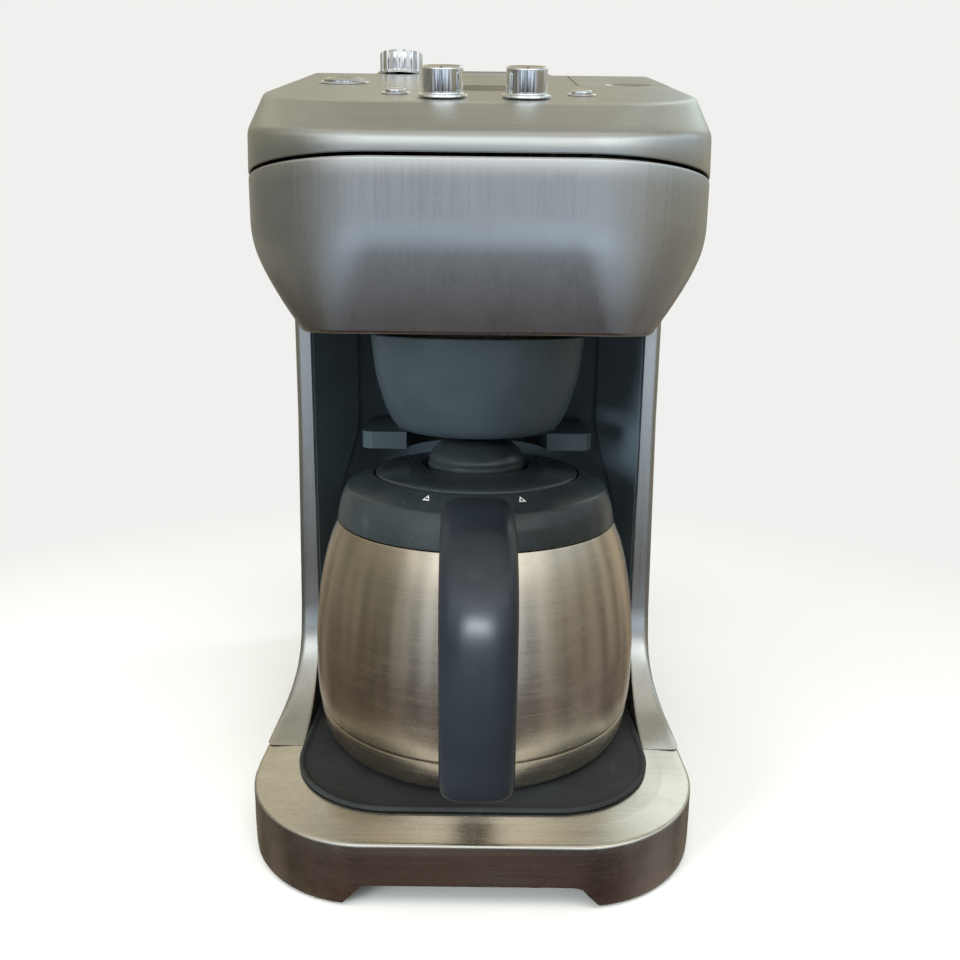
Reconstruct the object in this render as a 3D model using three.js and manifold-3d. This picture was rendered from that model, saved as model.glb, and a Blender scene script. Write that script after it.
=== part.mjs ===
// Grind-and-brew drip coffee maker with a thermal carafe.
// Millimetres, +Z up, the front faces -Y. The origin is at the centre of the
// footprint (carafe handle included) on the surface the machine stands on.
import * as THREE from "three";
import { mergeVertices } from "three/addons/utils/BufferGeometryUtils.js";
import Module from "manifold-3d";

const wasm = await Module();
wasm.setup();

// ---------------------------------------------------------------- dimensions
const HALF_W = 108;            // half width of the base
const HEAD_W = 106;            // half width of the head
const BASE_FRONT = -147;       // base front wall
const REAR = 164.8;            // rear wall
const BASE_R = 61;             // front corner radius of the base, in plan
const REAR_R = 24;
const DECK_Z = 33.6;           // deck of the base
const EDGE_Z = 32;             // front edge of the deck
const ARCH_Z = 11.5;           // underside of the front wall between the feet
const COL_W = 98;              // half width of the column
const COL_IN = 89;             // inner edge of the column's front strips
const COL_FRONT = -14;
const COL_REAR = 154.8;
const FILLET = 58;             // sweep of the column's front into the deck
const FLARE_TOP = 80;
const CX = 0, CY = -35;        // axis of carafe, basket and cavity
const CAVITY_R = 93;
const HEAD_FRONT = -119.2;
const HEAD_R = 66;
const HEAD_LOW_Z = 249;        // underside of the head
const HEAD_LOW_W = 77;
const HEAD_LOW_FRONT = -112.6;
const HEAD_LOW_R = 24;
const HEAD_MID = [[87.5, -114.8, 148.9, 38, 18, 261], [98, -117.1, 157.9, 53, 21, 275]]; // the flanks swell between base and crease
const HEAD_LOW_REAR = 139.8;
const CREASE_LOW_Z = 289;
const SEAM_Z = 320.4, SEAM_SLOPE = -0.055, SEAM_GAP = 1.3;
const LIP_Z = 328, LIP_SLOPE = 0.166;     // upper crease, rises to the rear
const PANEL_FRONT = -93, PANEL_Z = 344, PANEL_REAR = 63, TOP_Z = 390.5;
const PANEL_W = 98.5, PANEL_R = 42;
const TILT = Math.atan((TOP_Z - PANEL_Z) / (PANEL_REAR - PANEL_FRONT));
const SHELL = 2;
const GAP = 0.3;

const panelZ = (y) => PANEL_Z + (y - PANEL_FRONT) * Math.tan(TILT);
const seamZ = (y) => SEAM_Z + SEAM_SLOPE * (y - HEAD_FRONT);
const creaseZ = (y) => LIP_Z + LIP_SLOPE * (y - HEAD_FRONT);

// ---------------------------------------------------------------- colours
const STEEL = [0x9a9a97, 0.34, 1.0], CHROME = [0xd5d6d8, 0.08, 1.0], BLACK = [0x24292e, 0.45, 0.0];
const GREY = [0x3b444b, 0.5, 0.0], RUBBER = [0x2b2f2e, 0.8, 0.0], WARM = [0x9c9183, 0.32, 1.0];
const GLASS = [0x101418, 0.08, 0.0], BRASS = [0xb58d4a, 0.4, 1.0], CLEAR = [0xb9c4c8, 0.2, 0.0];
const COPPER = [0xa05a3a, 0.45, 1.0], GREEN = [0x1f5b3a, 0.6, 0.0], WHITE = [0xd9d9d2, 0.6, 0.0];
const ZINC = [0x8d9094, 0.4, 1.0];

// ---------------------------------------------------------------- helpers
const root = new THREE.Group();

function toManifold(geo) {
  let g = geo.clone();
  for (const k of Object.keys(g.attributes)) if (k !== "position") g.deleteAttribute(k);
  g = mergeVertices(g, 1e-4);
  const p = g.attributes.position.array, idx = g.index.array, out = [];
  for (let i = 0; i < idx.length; i += 3) {
    const a = idx[i], b = idx[i + 1], c = idx[i + 2];
    if (a !== b && b !== c && a !== c) out.push(a, b, c);
  }
  let vol = 0;
  for (let i = 0; i < out.length; i += 3) {
    const [a, b, c] = [out[i] * 3, out[i + 1] * 3, out[i + 2] * 3];
    vol += p[a] * (p[b + 1] * p[c + 2] - p[b + 2] * p[c + 1])
      - p[a + 1] * (p[b] * p[c + 2] - p[b + 2] * p[c])
      + p[a + 2] * (p[b] * p[c + 1] - p[b + 1] * p[c]);
  }
  if (vol < 0) for (let i = 0; i < out.length; i += 3) { const t = out[i + 1]; out[i + 1] = out[i + 2]; out[i + 2] = t; }
  return new wasm.Manifold(new wasm.Mesh({ numProp: 3, vertProperties: Float32Array.from(p), triVerts: Uint32Array.from(out) }));
}

function toGeometry(m) {
  const mesh = m.getMesh(), g = new THREE.BufferGeometry();
  g.setAttribute("position", new THREE.BufferAttribute(new Float32Array(mesh.vertProperties), 3));
  g.setIndex(new THREE.BufferAttribute(new Uint32Array(mesh.triVerts), 1));
  g.computeVertexNormals();
  return g;
}

// A named piece; at = [x, y, z], tilt turns it about X.
function piece(name, solid, look, at = [0, 0, 0], tilt = 0) {
  const geo = solid.isBufferGeometry ? toGeometry(toManifold(solid)) : toGeometry(solid);
  const mesh = new THREE.Mesh(geo, new THREE.MeshStandardMaterial({ color: look[0], roughness: look[1], metalness: look[2] }));
  mesh.name = name;
  mesh.position.set(...at);
  mesh.rotation.x = tilt;
  root.add(mesh);
  return mesh;
}

// Closed solid through rings of equal point count. Flat caps are triangulated
// in the plane given by axes u, v; loop = true joins the last ring to the first.
function loft(rings, { loop = false, u = 0, v = 1 } = {}) {
  const n = rings[0].length, pos = [], idx = [];
  for (const r of rings) for (const p of r) pos.push(...p);
  const m = rings.length, last = loop ? m : m - 1;
  for (let i = 0; i < last; i++) {
    const a = i * n, b = ((i + 1) % m) * n;
    for (let j = 0; j < n; j++) {
      const k = (j + 1) % n;
      idx.push(a + j, a + k, b + k, a + j, b + k, b + j);
    }
  }
  if (!loop) for (const [ri, want] of [[0, -1], [m - 1, 1]]) {
    const c = rings[ri].map((p) => new THREE.Vector2(p[u], p[v]));
    const s = Math.sign(THREE.ShapeUtils.area(c));
    for (const f of THREE.ShapeUtils.triangulateShape(c, [])) {
      const ta = Math.sign(THREE.ShapeUtils.area(f.map((q) => c[q])));
      const t = ta === s * want ? [f[0], f[1], f[2]] : [f[0], f[2], f[1]];
      idx.push(...t.map((q) => q + ri * n));
    }
  }
  const g = new THREE.BufferGeometry();
  g.setAttribute("position", new THREE.Float32BufferAttribute(pos, 3));
  g.setIndex(idx);
  return toManifold(g);
}

// Rounded rectangle in plan: x in [-w, w] + cx, y in [y0, y1], corner radii for
// the front and the rear; z is a number or a function of (x, y).
function outline(w, y0, y1, rf, rr, z, nf = 6, nr = 3, cx = 0, ys = []) {
  const pts = [], zf = typeof z === "function" ? z : () => z;
  const corner = (x, y, r, a0, n) => {
    for (let i = 0; i <= n; i++) {
      const a = a0 + (Math.PI / 2) * (i / n), px = cx + x + r * Math.cos(a), py = y + r * Math.sin(a);
      pts.push([px, py, zf(px, py)]);
    }
  };
  corner(w - rf, y0 + rf, rf, -Math.PI / 2, nf);
  for (const y of ys) pts.push([cx + w, y, zf(cx + w, y)]);
  corner(w - rr, y1 - rr, rr, 0, nr);
  corner(-w + rr, y1 - rr, rr, Math.PI / 2, nr);
  for (const y of [...ys].reverse()) pts.push([cx - w, y, zf(cx - w, y)]);
  corner(-w + rf, y0 + rf, rf, Math.PI, nf);
  return pts;
}

// Solid of revolution about a vertical axis through (x, y).
function lathe(profile, segs, x = 0, y = 0) {
  const g = new THREE.LatheGeometry(profile.map(([r, z]) => new THREE.Vector2(Math.max(r, 0), z)), segs);
  g.rotateX(Math.PI / 2);
  g.translate(x, y, 0);
  return toManifold(g);
}
const tube = (r0, r1, z0, z1, segs, x = 0, y = 0) => lathe([[r0, z0], [r1, z0], [r1, z1], [r0, z1], [r0, z0]], segs, x, y);
const rod = (r, z0, z1, segs, x = 0, y = 0) => lathe([[0, z0], [r, z0], [r, z1], [0, z1]], segs, x, y);
function box(x0, x1, y0, y1, z0, z1) {
  const g = new THREE.BoxGeometry(x1 - x0, y1 - y0, z1 - z0);
  g.translate((x0 + x1) / 2, (y0 + y1) / 2, (z0 + z1) / 2);
  return toManifold(g);
}
// Prism: polygon in the Y-Z plane, run along X.
const prismX = (poly, x0, x1) => loft([poly.map(([y, z]) => [x0, y, z]), poly.map(([y, z]) => [x1, y, z])], { u: 1, v: 2 });
// Prism: polygon in the X-Z plane, run along Y.
const prismY = (poly, y0, y1) => loft([poly.map(([x, z]) => [x, y0, z]), poly.map(([x, z]) => [x, y1, z])], { u: 0, v: 2 });
// Hose: a round section along a curve.
function hose(points, r, steps, sides = 8) {
  const s = new THREE.Shape();
  for (let i = 0; i < sides; i++) {
    const a = (i / sides) * 2 * Math.PI;
    i ? s.lineTo(r * Math.cos(a), r * Math.sin(a)) : s.moveTo(r, 0);
  }
  const path = new THREE.CatmullRomCurve3(points.map((p) => new THREE.Vector3(...p)), false, "catmullrom", 0.4);
  return toManifold(new THREE.ExtrudeGeometry(s, { steps, bevelEnabled: false, extrudePath: path, curveSegments: 1 }));
}
// Spur gear blank with trapezoid teeth; phase in teeth.
function gear(n, module_, z0, z1, bore, x, y, phase = 0) {
  const rp = (n * module_) / 2, ra = rp + 0.75 * module_, rd = rp - 0.95 * module_, s = new THREE.Shape();
  for (let i = 0; i < n; i++) {
    for (const [f, r] of [[-0.32, rd], [-0.13, ra], [0.13, ra], [0.32, rd]]) {
      const a = ((i + f + phase) / n) * 2 * Math.PI;
      const px = r * Math.cos(a), py = r * Math.sin(a);
      i === 0 && f === -0.32 ? s.moveTo(px, py) : s.lineTo(px, py);
    }
  }
  if (bore) {
    const h = new THREE.Path();
    h.absarc(0, 0, bore, 0, 2 * Math.PI, true);
    s.holes.push(h);
  }
  const g = new THREE.ExtrudeGeometry(s, { depth: z1 - z0, bevelEnabled: false, curveSegments: 7 });
  g.translate(x, y, z0);
  return toManifold(g);
}
// A cutter or piece built about +Z, tilted with the control panel, set on it.
function onPanel(profileSolid, x, y, lift = 0) {
  const g = toGeometry(profileSolid);
  g.rotateX(TILT);
  g.translate(x, y - lift * Math.sin(TILT), panelZ(y) + lift * Math.cos(TILT));
  return toManifold(g);
}

// ---------------------------------------------------------------- base
{
  const edge = (x, y) => EDGE_Z + (DECK_Z - EDGE_Z) * Math.min(1, Math.max(0, (y + 110) / 40));
  const O = (inset, z) => outline(HALF_W - inset, BASE_FRONT + inset, REAR - inset, BASE_R - inset, REAR_R - inset, z);
  let shell = loft([O(1.2, 1.2), O(0.2, 8), O(0, 20), O(0, (x, y) => edge(x, y) - 1.6), O(1.4, edge), O(14, DECK_Z)]);
  shell = shell.subtract(loft([O(SHELL + 0.6, -4), O(SHELL + 0.6, 26), O(16, 31.2)]));
  const archF = [[-58.6, 0.9], [-47.6, ARCH_Z], [47.6, ARCH_Z], [58.6, 0.9], [58.6, -5], [-58.6, -5]];
  shell = shell.subtract(prismY(archF, -170, -120));
  shell = shell.subtract(prismY(archF, 140, 190));
  shell = shell.subtract(prismX([[-62, 0.9], [-52, 9], [82, 9], [92, 0.9], [92, -5], [-62, -5]], -130, 130));
  piece("base_shell", shell, WARM);

  let pan = loft([O(3.4, 12.6), O(3.4, 15)]);
  for (const sx of [-1, 1]) for (const fy of [-88, 118]) pan = pan.subtract(rod(2.2, 8, 20, 10, sx * 64, fy));
  pan = pan.subtract(rod(7, 8, 20, 16, 0, 60));
  piece("bottom_plate", pan, BLACK);

  for (const [sx, sn] of [[-1, "left"], [1, "right"]]) for (const [fy, fn] of [[-96, "front"], [126, "rear"]]) {
    piece(`foot_${fn}_${sn}`, lathe([[0, 0], [11, 0], [13, 1.6], [13, 9], [9, 12.2], [0, 12.2]], 12, sx * 80, fy), RUBBER);
    piece(`base_screw_${fn}_${sn}`, lathe([[0, 10], [3.8, 10], [3.8, 12.2], [1.8, 12.2], [1.8, 26], [0, 26]], 8, sx * 64, fy === -96 ? -88 : 118), ZINC);
  }
}

// ---------------------------------------------------------------- drip mat
{
  const half = 88.3, rf = 50, pts = [], front = -126;
  for (let i = 0; i <= 6; i++) { const a = -Math.PI / 2 + (Math.PI / 2) * (i / 6); pts.push([half - rf + rf * Math.cos(a), front + rf + rf * Math.sin(a)]); }
  for (let i = 0; i <= 12; i++) { const a = Math.PI * (i / 12); pts.push([half * Math.cos(a), CY + half * Math.sin(a)]); }
  for (let i = 0; i <= 6; i++) { const a = Math.PI + (Math.PI / 2) * (i / 6); pts.push([-half + rf + rf * Math.cos(a), front + rf + rf * Math.sin(a)]); }
  const ring = (z) => pts.map(([x, y]) => [x, y, z]);
  piece("drip_mat", loft([ring(DECK_Z + GAP), ring(35.9)]), RUBBER);
}

// ---------------------------------------------------------------- head, outer solid
const headOuter = (grow) => {
  const g = grow;
  const R = (w, y0, y1, rf, rr, z) => outline(w + g, y0 - g, y1 + g, rf + g, rr + g, z);
  return loft([
    R(HEAD_LOW_W, HEAD_LOW_FRONT, HEAD_LOW_REAR, HEAD_LOW_R, 14, HEAD_LOW_Z - g),
    ...HEAD_MID.map((m) => R(...m)),
    R(HEAD_W, HEAD_FRONT, REAR, HEAD_R, REAR_R, CREASE_LOW_Z),
    R(HEAD_W, HEAD_FRONT, REAR, HEAD_R, REAR_R, (x, y) => seamZ(y) - SEAM_GAP),
  ]);
};

// ---------------------------------------------------------------- column
{
  const flare = (z) => (z >= FLARE_TOP ? 0 : 10 * Math.pow((FLARE_TOP - z) / (FLARE_TOP - DECK_Z), 2));
  const frontY = (z) => {
    const top = DECK_Z + FILLET;
    return z >= top ? COL_FRONT : COL_FRONT - (FILLET - Math.sqrt(Math.max(0, FILLET * FILLET - (top - z) * (top - z))));
  };
  const zs = [DECK_Z + GAP, 34.6, 36, 39, 44, 51, 60, 71, 80, 92, 200, 276];
  const headCut = headOuter(0.4);
  const draft = (z) => 2 * Math.max(0, Math.min(1, (200 - z) / 120)) + (z < 72 ? 8 * Math.pow((72 - z) / 38.1, 2.4) : 0);
  for (const s of [-1, 1]) {
    const rings = zs.map((z) => {
      const xo = COL_W + draft(z), yf = frontY(z), yr = COL_REAR + flare(z), r = 4, ring = [[COL_IN, yf], [xo - r, yf]];
      ring.push([xo - r * 0.29, yf + r * 0.29], [xo, yf + r], [xo, yr], [xo - SHELL, yr], [xo - SHELL, -11.8], [COL_IN, -11.8]);
      return ring.map(([x, y]) => [s * x, y, z]);
    });
    piece(s < 0 ? "column_side_left" : "column_side_right", loft(rings).subtract(headCut), STEEL);
  }
  // concave liner of the brewing cavity
  const a0 = Math.asin((-11.4 - CY) / CAVITY_R), plan = [];
  for (let i = 0; i <= 16; i++) { const a = a0 + (Math.PI - 2 * a0) * (i / 16); plan.push([CAVITY_R * Math.cos(a), CY + CAVITY_R * Math.sin(a)]); }
  for (let i = 16; i >= 0; i--) { const a = a0 + (Math.PI - 2 * a0) * (i / 16), r = CAVITY_R + 2.4; plan.push([r * Math.cos(a), Math.max(-11.4, CY + r * Math.sin(a))]); }
  const ring = (z) => plan.map(([x, y]) => [x, y, z]);
  let liner = loft([ring(DECK_Z + GAP), ring(HEAD_LOW_Z - 0.6)]);
  for (const x of [-34, 34]) liner = liner.subtract(box(x - 4, x + 4, 40, 70, 186, 191));
  piece("cavity_liner", liner, BLACK);

  const bz = [DECK_Z + GAP, 39, 44, 51, 60, 71, 80, 200, 276];
  const brings = bz.map((z) => { const w = COL_W + draft(z) - SHELL - GAP, y = COL_REAR + flare(z); return [[-w, y - 3, z], [w, y - 3, z], [w, y, z], [-w, y, z]]; });
  let back = loft(brings).subtract(headCut);
  for (let i = 0; i < 6; i++) back = back.subtract(box(-60, -12, 140, 175, 196 + i * 8, 200 + i * 8));
  back = back.subtract(box(-74, -56, 140, 190, 50, 68));
  back = back.subtract(box(68.2, 81.8, 140, 175, 119.7, 250.3));
  piece("back_panel", back, BLACK);
  piece("cord_gland", box(-73.7, -56.3, 152, 160, 50.3, 67.7).subtract(box(-69, -61, 150, 170, 55, 63)), RUBBER);
  piece("level_window", box(68.5, 81.5, 152.5, 155.1, 120, 250), CLEAR);
}

// ---------------------------------------------------------------- head skirt and underside
{
  const inner = loft([
    outline(HEAD_LOW_W - 2.3, HEAD_LOW_FRONT + 2.3, HEAD_LOW_REAR - 2.3, HEAD_LOW_R - 2.3, 12, HEAD_LOW_Z - 5),
    outline(HEAD_LOW_W - 2.1, HEAD_LOW_FRONT + 2.1, HEAD_LOW_REAR - 2.1, HEAD_LOW_R - 2.1, 12, HEAD_LOW_Z + 0.1),
    ...HEAD_MID.map(([w, y0, y1, rf, rr, z]) => outline(w - 2.1, y0 + 2.1, y1 - 2.1, rf - 2.1, rr - 2.1, z + 0.4)),
    outline(HEAD_W - 2.1, HEAD_FRONT + 2.1, REAR - 2.1, HEAD_R - 2.1, REAR_R - 2.1, CREASE_LOW_Z + 0.8),
    outline(HEAD_W - 2.1, HEAD_FRONT + 2.1, REAR - 2.1, HEAD_R - 2.1, REAR_R - 2.1, 335),
  ]);
  // the skirt is open where the column stands up into it
  const well = box(-95.6, 95.6, -9, 151.2, 240, 269.8);
  piece("head_skirt", headOuter(0).subtract(inner).subtract(well), STEEL);
  let under = loft([
    outline(HEAD_LOW_W - 2.6, HEAD_LOW_FRONT + 2.6, HEAD_LOW_REAR - 2.6, HEAD_LOW_R - 2.6, 11, HEAD_LOW_Z + 0.4),
    outline(HEAD_LOW_W - 2.0, HEAD_LOW_FRONT + 2.4, HEAD_LOW_REAR - 2.4, HEAD_LOW_R - 2.4, 11, HEAD_LOW_Z + 2.6),
  ]);
  under = under.subtract(rod(50, 240, 260, 32, CX, CY)).subtract(box(-72, 92, 62, 160, 240, 260));
  piece("head_underside", under, BLACK);
}

// ---------------------------------------------------------------- top cover
const HOPPER = { x: 4, w: 42, y0: 90, y1: 149, r: 14 };
const TANK_LID = { x0: 50, x1: 96, y0: -8, y1: 112, axisY: 116.5, axisZ: TOP_Z - 2.1 };
const dialXY = [[-16.3, -73], [20.3, -73]];
const DIAL_R = 9, DIAL_H = 12.5, RING_R = 11;
const BTN = [[-38.5, -58], [46, -58]], BTN_R = 4.8;
const START = [-70, -3], START_R = 10.5;
const GRIND = [-47.6, 75], GRIND_R = 12.5;
const LCD = { w: 26, y0: -42, y1: -10 };
{
  const up = (inset, dz) => {
    const ys = [PANEL_REAR], i = inset;
    const wide = (z) => outline(HEAD_W - i, HEAD_FRONT + i, REAR - i, HEAD_R - i, REAR_R - i, z, 6, 3, 0, ys);
    const narrow = (z) => outline(PANEL_W - i, PANEL_FRONT + i, REAR - 9.5 - i, PANEL_R - i, 18, z, 6, 3, 0, ys);
    const body = loft([
      wide(dz ? 290 : (x, y) => seamZ(y)),
      wide((x, y) => creaseZ(y) - dz * 0.4),
      narrow((x, y) => Math.min(panelZ(y), TOP_Z) - dz + 0.8),
      narrow(() => 425),
    ]);
    const y0 = -200, y1 = 200;
    return body.intersect(prismX([[y0, 200], [y1, 200], [y1, TOP_Z - dz], [PANEL_REAR, TOP_Z - dz], [y0, panelZ(y0) - dz]], -150, 150));
  };
  const shell = up(0, 0).subtract(up(2.2, 2.6));
  const T = TANK_LID;
  const lidPlan = (g, y1) => loft([
    outline((T.x1 - T.x0) / 2 + g, T.y0 - g, y1, 6, 3, 290, 3, 2, (T.x0 + T.x1) / 2),
    outline((T.x1 - T.x0) / 2 + g, T.y0 - g, y1, 6, 3, 420, 3, 2, (T.x0 + T.x1) / 2)]);
  let cover = shell.subtract(lidPlan(0.6, T.axisY + 3.4));
  // tank lid, with an oval finger recess and a hinge knuckle at its rear edge
  let lid = shell.intersect(lidPlan(0, T.axisY - 1));
  const knuckle = new THREE.CylinderGeometry(2.6, 2.6, 40, 14);
  knuckle.rotateZ(Math.PI / 2); knuckle.translate((T.x0 + T.x1) / 2, T.axisY, T.axisZ);
  lid = lid.add(toManifold(knuckle));
  const bore = new THREE.CylinderGeometry(1.45, 1.45, 80, 12);
  bore.rotateZ(Math.PI / 2); bore.translate((T.x0 + T.x1) / 2, T.axisY, T.axisZ);
  lid = lid.subtract(toManifold(bore));
  const recess = lathe([[0, -1.5], [8, -1.5], [13.5, 3], [0, 3]], 24);
  lid = lid.subtract(onPanel(recess, 77, 2));
  piece("tank_lid", lid, WARM);
  const pin = new THREE.CylinderGeometry(1.4, 1.4, 45, 12);
  pin.rotateZ(Math.PI / 2); pin.translate((T.x0 + T.x1) / 2, T.axisY, T.axisZ);
  piece("tank_lid_pin", toManifold(pin), ZINC);

  cover = cover.subtract(loft([outline(HOPPER.w + 0.8, HOPPER.y0 - 0.8, HOPPER.y1 + 0.8, HOPPER.r, HOPPER.r, 370, 4, 4, HOPPER.x),
    outline(HOPPER.w + 0.8, HOPPER.y0 - 0.8, HOPPER.y1 + 0.8, HOPPER.r, HOPPER.r, 400, 4, 4, HOPPER.x)]));
  for (const [x, y] of dialXY) cover = cover.subtract(onPanel(rod(3.5, -12, 6, 10), x, y));
  for (const [x, y] of BTN) cover = cover.subtract(onPanel(rod(BTN_R + 0.45, -12, 6, 12), x, y));
  cover = cover.subtract(onPanel(rod(START_R + 0.45, -12, 6, 18), START[0], START[1]));
  cover = cover.subtract(rod(4.4, 370, 400, 12, GRIND[0], GRIND[1]));
  const lc = (LCD.y0 + LCD.y1) / 2;
  cover = cover.subtract(onPanel(box(-LCD.w - 0.3, LCD.w + 0.3, -16.3, 16.3, -12, 6), 2, lc));
  piece("top_cover", cover, STEEL);
  const cs = Math.cos(TILT), sn = Math.sin(TILT);
  const P = (x, y, lift) => [x, y - lift * sn, panelZ(y) + lift * cs];
  piece("lcd_window", box(-LCD.w, LCD.w, -16, 16, -2.2, -0.1), GLASS, P(2, lc, 0), TILT);
  piece("display_module", box(-23, 23, -13, 13, -6.5, -2.6), GREEN, P(2, lc, 0), TILT);
  piece("control_board", box(-58, 56, -49, 20, -16, -14.4), GREEN, P(0, lc, 0), TILT);

  // dials: a base ring, a straight drum with a small pointer flat, and a shaft
  const names = ["dial_left", "dial_right"];
  dialXY.forEach(([x, y], i) => {
    let d = lathe([[0, -11], [3, -11], [3, 0.35], [RING_R, 0.35], [RING_R, 1.8], [DIAL_R, 2.4], [DIAL_R, DIAL_H - 1], [DIAL_R - 1, DIAL_H], [0, DIAL_H]], 18);
    d = d.subtract(box(-0.7, 0.7, -DIAL_R - 1, -DIAL_R + 3.5, DIAL_H - 0.6, DIAL_H + 2));
    piece(names[i], d, CHROME, P(x, y, 0), TILT);
  });
  ["button_left", "button_right"].forEach((n, i) => {
    piece(n, lathe([[0, -7], [1.6, -7], [1.6, -3.2], [BTN_R, -3.2], [BTN_R, 1.5], [0, 2.5]], 12), CHROME, P(BTN[i][0], BTN[i][1], 0), TILT);
  });
  piece("start_button", lathe([[0, -8], [2, -8], [2, -3.4], [START_R, -3.4], [START_R, 1.5], [START_R - 1.2, 2.3], [0, 2.7]], 18), CHROME, P(START[0], START[1], 0), TILT);

  // grind size dial: base ring, fluted drum, long shaft with a pinion at its foot
  const flutes = new THREE.Shape();
  for (let i = 0; i < 16; i++) for (const [f, r] of [[-0.3, GRIND_R], [0.3, GRIND_R], [0.5, GRIND_R - 1.1]]) {
    const a = ((i + f) / 16) * 2 * Math.PI;
    i === 0 && f === -0.3 ? flutes.moveTo(r * Math.cos(a), r * Math.sin(a)) : flutes.lineTo(r * Math.cos(a), r * Math.sin(a));
  }
  const drum = new THREE.ExtrudeGeometry(flutes, { depth: 10.6, bevelEnabled: false });
  drum.translate(GRIND[0], GRIND[1], TOP_Z + 2.6);
  const dial = toManifold(drum).add(lathe([[0, 322], [4, 322], [4, TOP_Z + 0.5], [15, TOP_Z + 0.5], [15, TOP_Z + 2], [13, TOP_Z + 3], [11, TOP_Z + 3], [11, TOP_Z + 13.3], [9.5, TOP_Z + 13.9], [0, TOP_Z + 13.9]], 14, GRIND[0], GRIND[1]));
  piece("grind_dial", dial.add(gear(18, 2.4364, 315, 323, 0, GRIND[0], GRIND[1], 0.8855)), CHROME);
}

// ---------------------------------------------------------------- hopper and grinder
const GX = 0, GY = 100;
{
  const H = HOPPER, n = 20;
  const sq = (g, z) => outline(H.w - g, H.y0 + g, H.y1 - g, H.r - g, H.r - g, z, 4, 4, H.x);
  const round = (r, z) => sq(0, z).map(([x, y]) => {
    const a = Math.atan2(y - (H.y0 + H.y1) / 2, x - H.x);
    return [GX + r * Math.cos(a), GY + r * Math.sin(a), z];
  });
  const hopper = loft([round(19.6, 328.6), round(21.6, 328.6), sq(0, 366), sq(0, TOP_Z), sq(2, TOP_Z), sq(2, 367), round(19.6, 332)], { loop: true });
  piece("bean_hopper", hopper, CLEAR);
  const L = loft([sq(4, TOP_Z - 6), sq(4, TOP_Z + 0.4), sq(-2, TOP_Z + 0.4), sq(-2, TOP_Z + 5.4), sq(1, TOP_Z + 8.4), sq(8, TOP_Z + 9.4)]);
  piece("hopper_lid", L, STEEL);

  let ring = gear(26, 2.4364, 315.5, 322.5, 0, GX, GY, 0.0013).add(rod(24, 313, 328, 18, GX, GY)).subtract(rod(19, 300, 340, 16, GX, GY));
  piece("outer_burr_ring", ring, BRASS);
  piece("inner_burr", lathe([[0, 262.6], [3.8, 262.6], [3.8, 265.6], [7, 265.6], [7, 276.4], [3.8, 276.4], [3.8, 306], [17.4, 306], [17.4, 310], [10, 326], [0, 330]], 14, GX, GY), ZINC);
  piece("drive_gear", gear(24, 2, 266, 276, 7.3, GX, GY, 0.0354), WHITE);
  let cup = lathe([[4.4, 283], [30, 283], [30, 312], [27.5, 312], [27.5, 285.5], [4.4, 285.5], [4.4, 283]], 18, GX, GY);
  cup = cup.subtract(box(-10, 10, 60, 92, 286, 304));
  piece("grinder_housing", cup, GREY);
  const mx = -31, my = 108;
  piece("grinder_motor", lathe([[0, 200], [22, 200], [22, 256], [14, 260], [2.4, 260], [2.4, 277], [0, 277]], 16, mx, my), ZINC);
  piece("motor_pinion", gear(8, 2, 266, 276, 2.6, mx, my, 0.1784), BRASS);
  // chute from the burrs forward to the basket
  const chuteOuter = prismX([[67.5, 285], [67.5, 306], [8, 284], [-2, 274], [-2, 260], [16, 260], [16, 266]], -12, 12);
  const chuteInner = prismX([[69, 287.2], [69, 304], [9, 282], [0, 273], [0, 258], [14, 258], [14, 267.5]], -10, 10);
  piece("grounds_chute", chuteOuter.subtract(chuteInner), BLACK);
}

// ---------------------------------------------------------------- water path
{
  const outer = box(38, 90.6, 66, 136.6, 72, 310).add(box(53, 90.6, 4, 112, 306, 383));
  const slopeCut = prismX([[-20, panelZ(-20) - 4.5], [PANEL_REAR, TOP_Z - 4.5], [200, TOP_Z - 4.5], [200, 450], [-20, 450]], 0, 150);
  const inner = box(40, 88.8, 68, 134.8, 74, 308).add(box(55, 88.8, 6, 110, 300, 420)).subtract(box(52, 93, 0, 66, 290, 308));
  let tank = outer.subtract(slopeCut).subtract(inner);
  tank = tank.subtract(rod(3, 60, 80, 10, 60, 100));
  piece("water_tank", tank, CLEAR);
  piece("flow_heater", hose([[40, 120, 52], [-30, 122, 52], [-62, 108, 52], [-62, 96, 52], [-30, 82, 52], [34, 80, 52]], 7, 14, 8), ZINC);
  piece("feed_hose", hose([[60, 100, 70.5], [60, 102, 60], [57, 112, 53], [48, 120, 52]], 3.6, 7, 6), RUBBER);
  piece("riser_hose", hose([[35.6, 80.2, 52], [43, 79.5, 53], [45, 74, 60], [35, 68, 68], [20, 67, 80], [-20, 68, 112], [-56, 74, 150], [-66, 76, 230], [-60, 72, 260], [-46, 46, 277], [-12, -32, 278], [-1, -35, 274.5], [0, -35, 270], [0, -35, 265.8]], 3.6, 30, 6), RUBBER);
  let shower = lathe([[0, 252.4], [26, 252.4], [27.5, 254], [27.5, 257.5], [8, 261.5], [4.6, 265], [3.8, 265], [3.8, 262], [2.5, 259.8], [0, 259.8]], 16, CX, CY);
  shower = shower.add(box(-60, 60, -39, -31, 253.6, 257)).subtract(rod(2.2, 255, 275, 8, CX, CY));
  for (let i = 0; i < 4; i++) shower = shower.subtract(rod(1.8, 250, 262, 6, CX + 15 * Math.cos(i * Math.PI / 2), CY + 15 * Math.sin(i * Math.PI / 2)));
  piece("shower_head", shower, WHITE);
}

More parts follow.
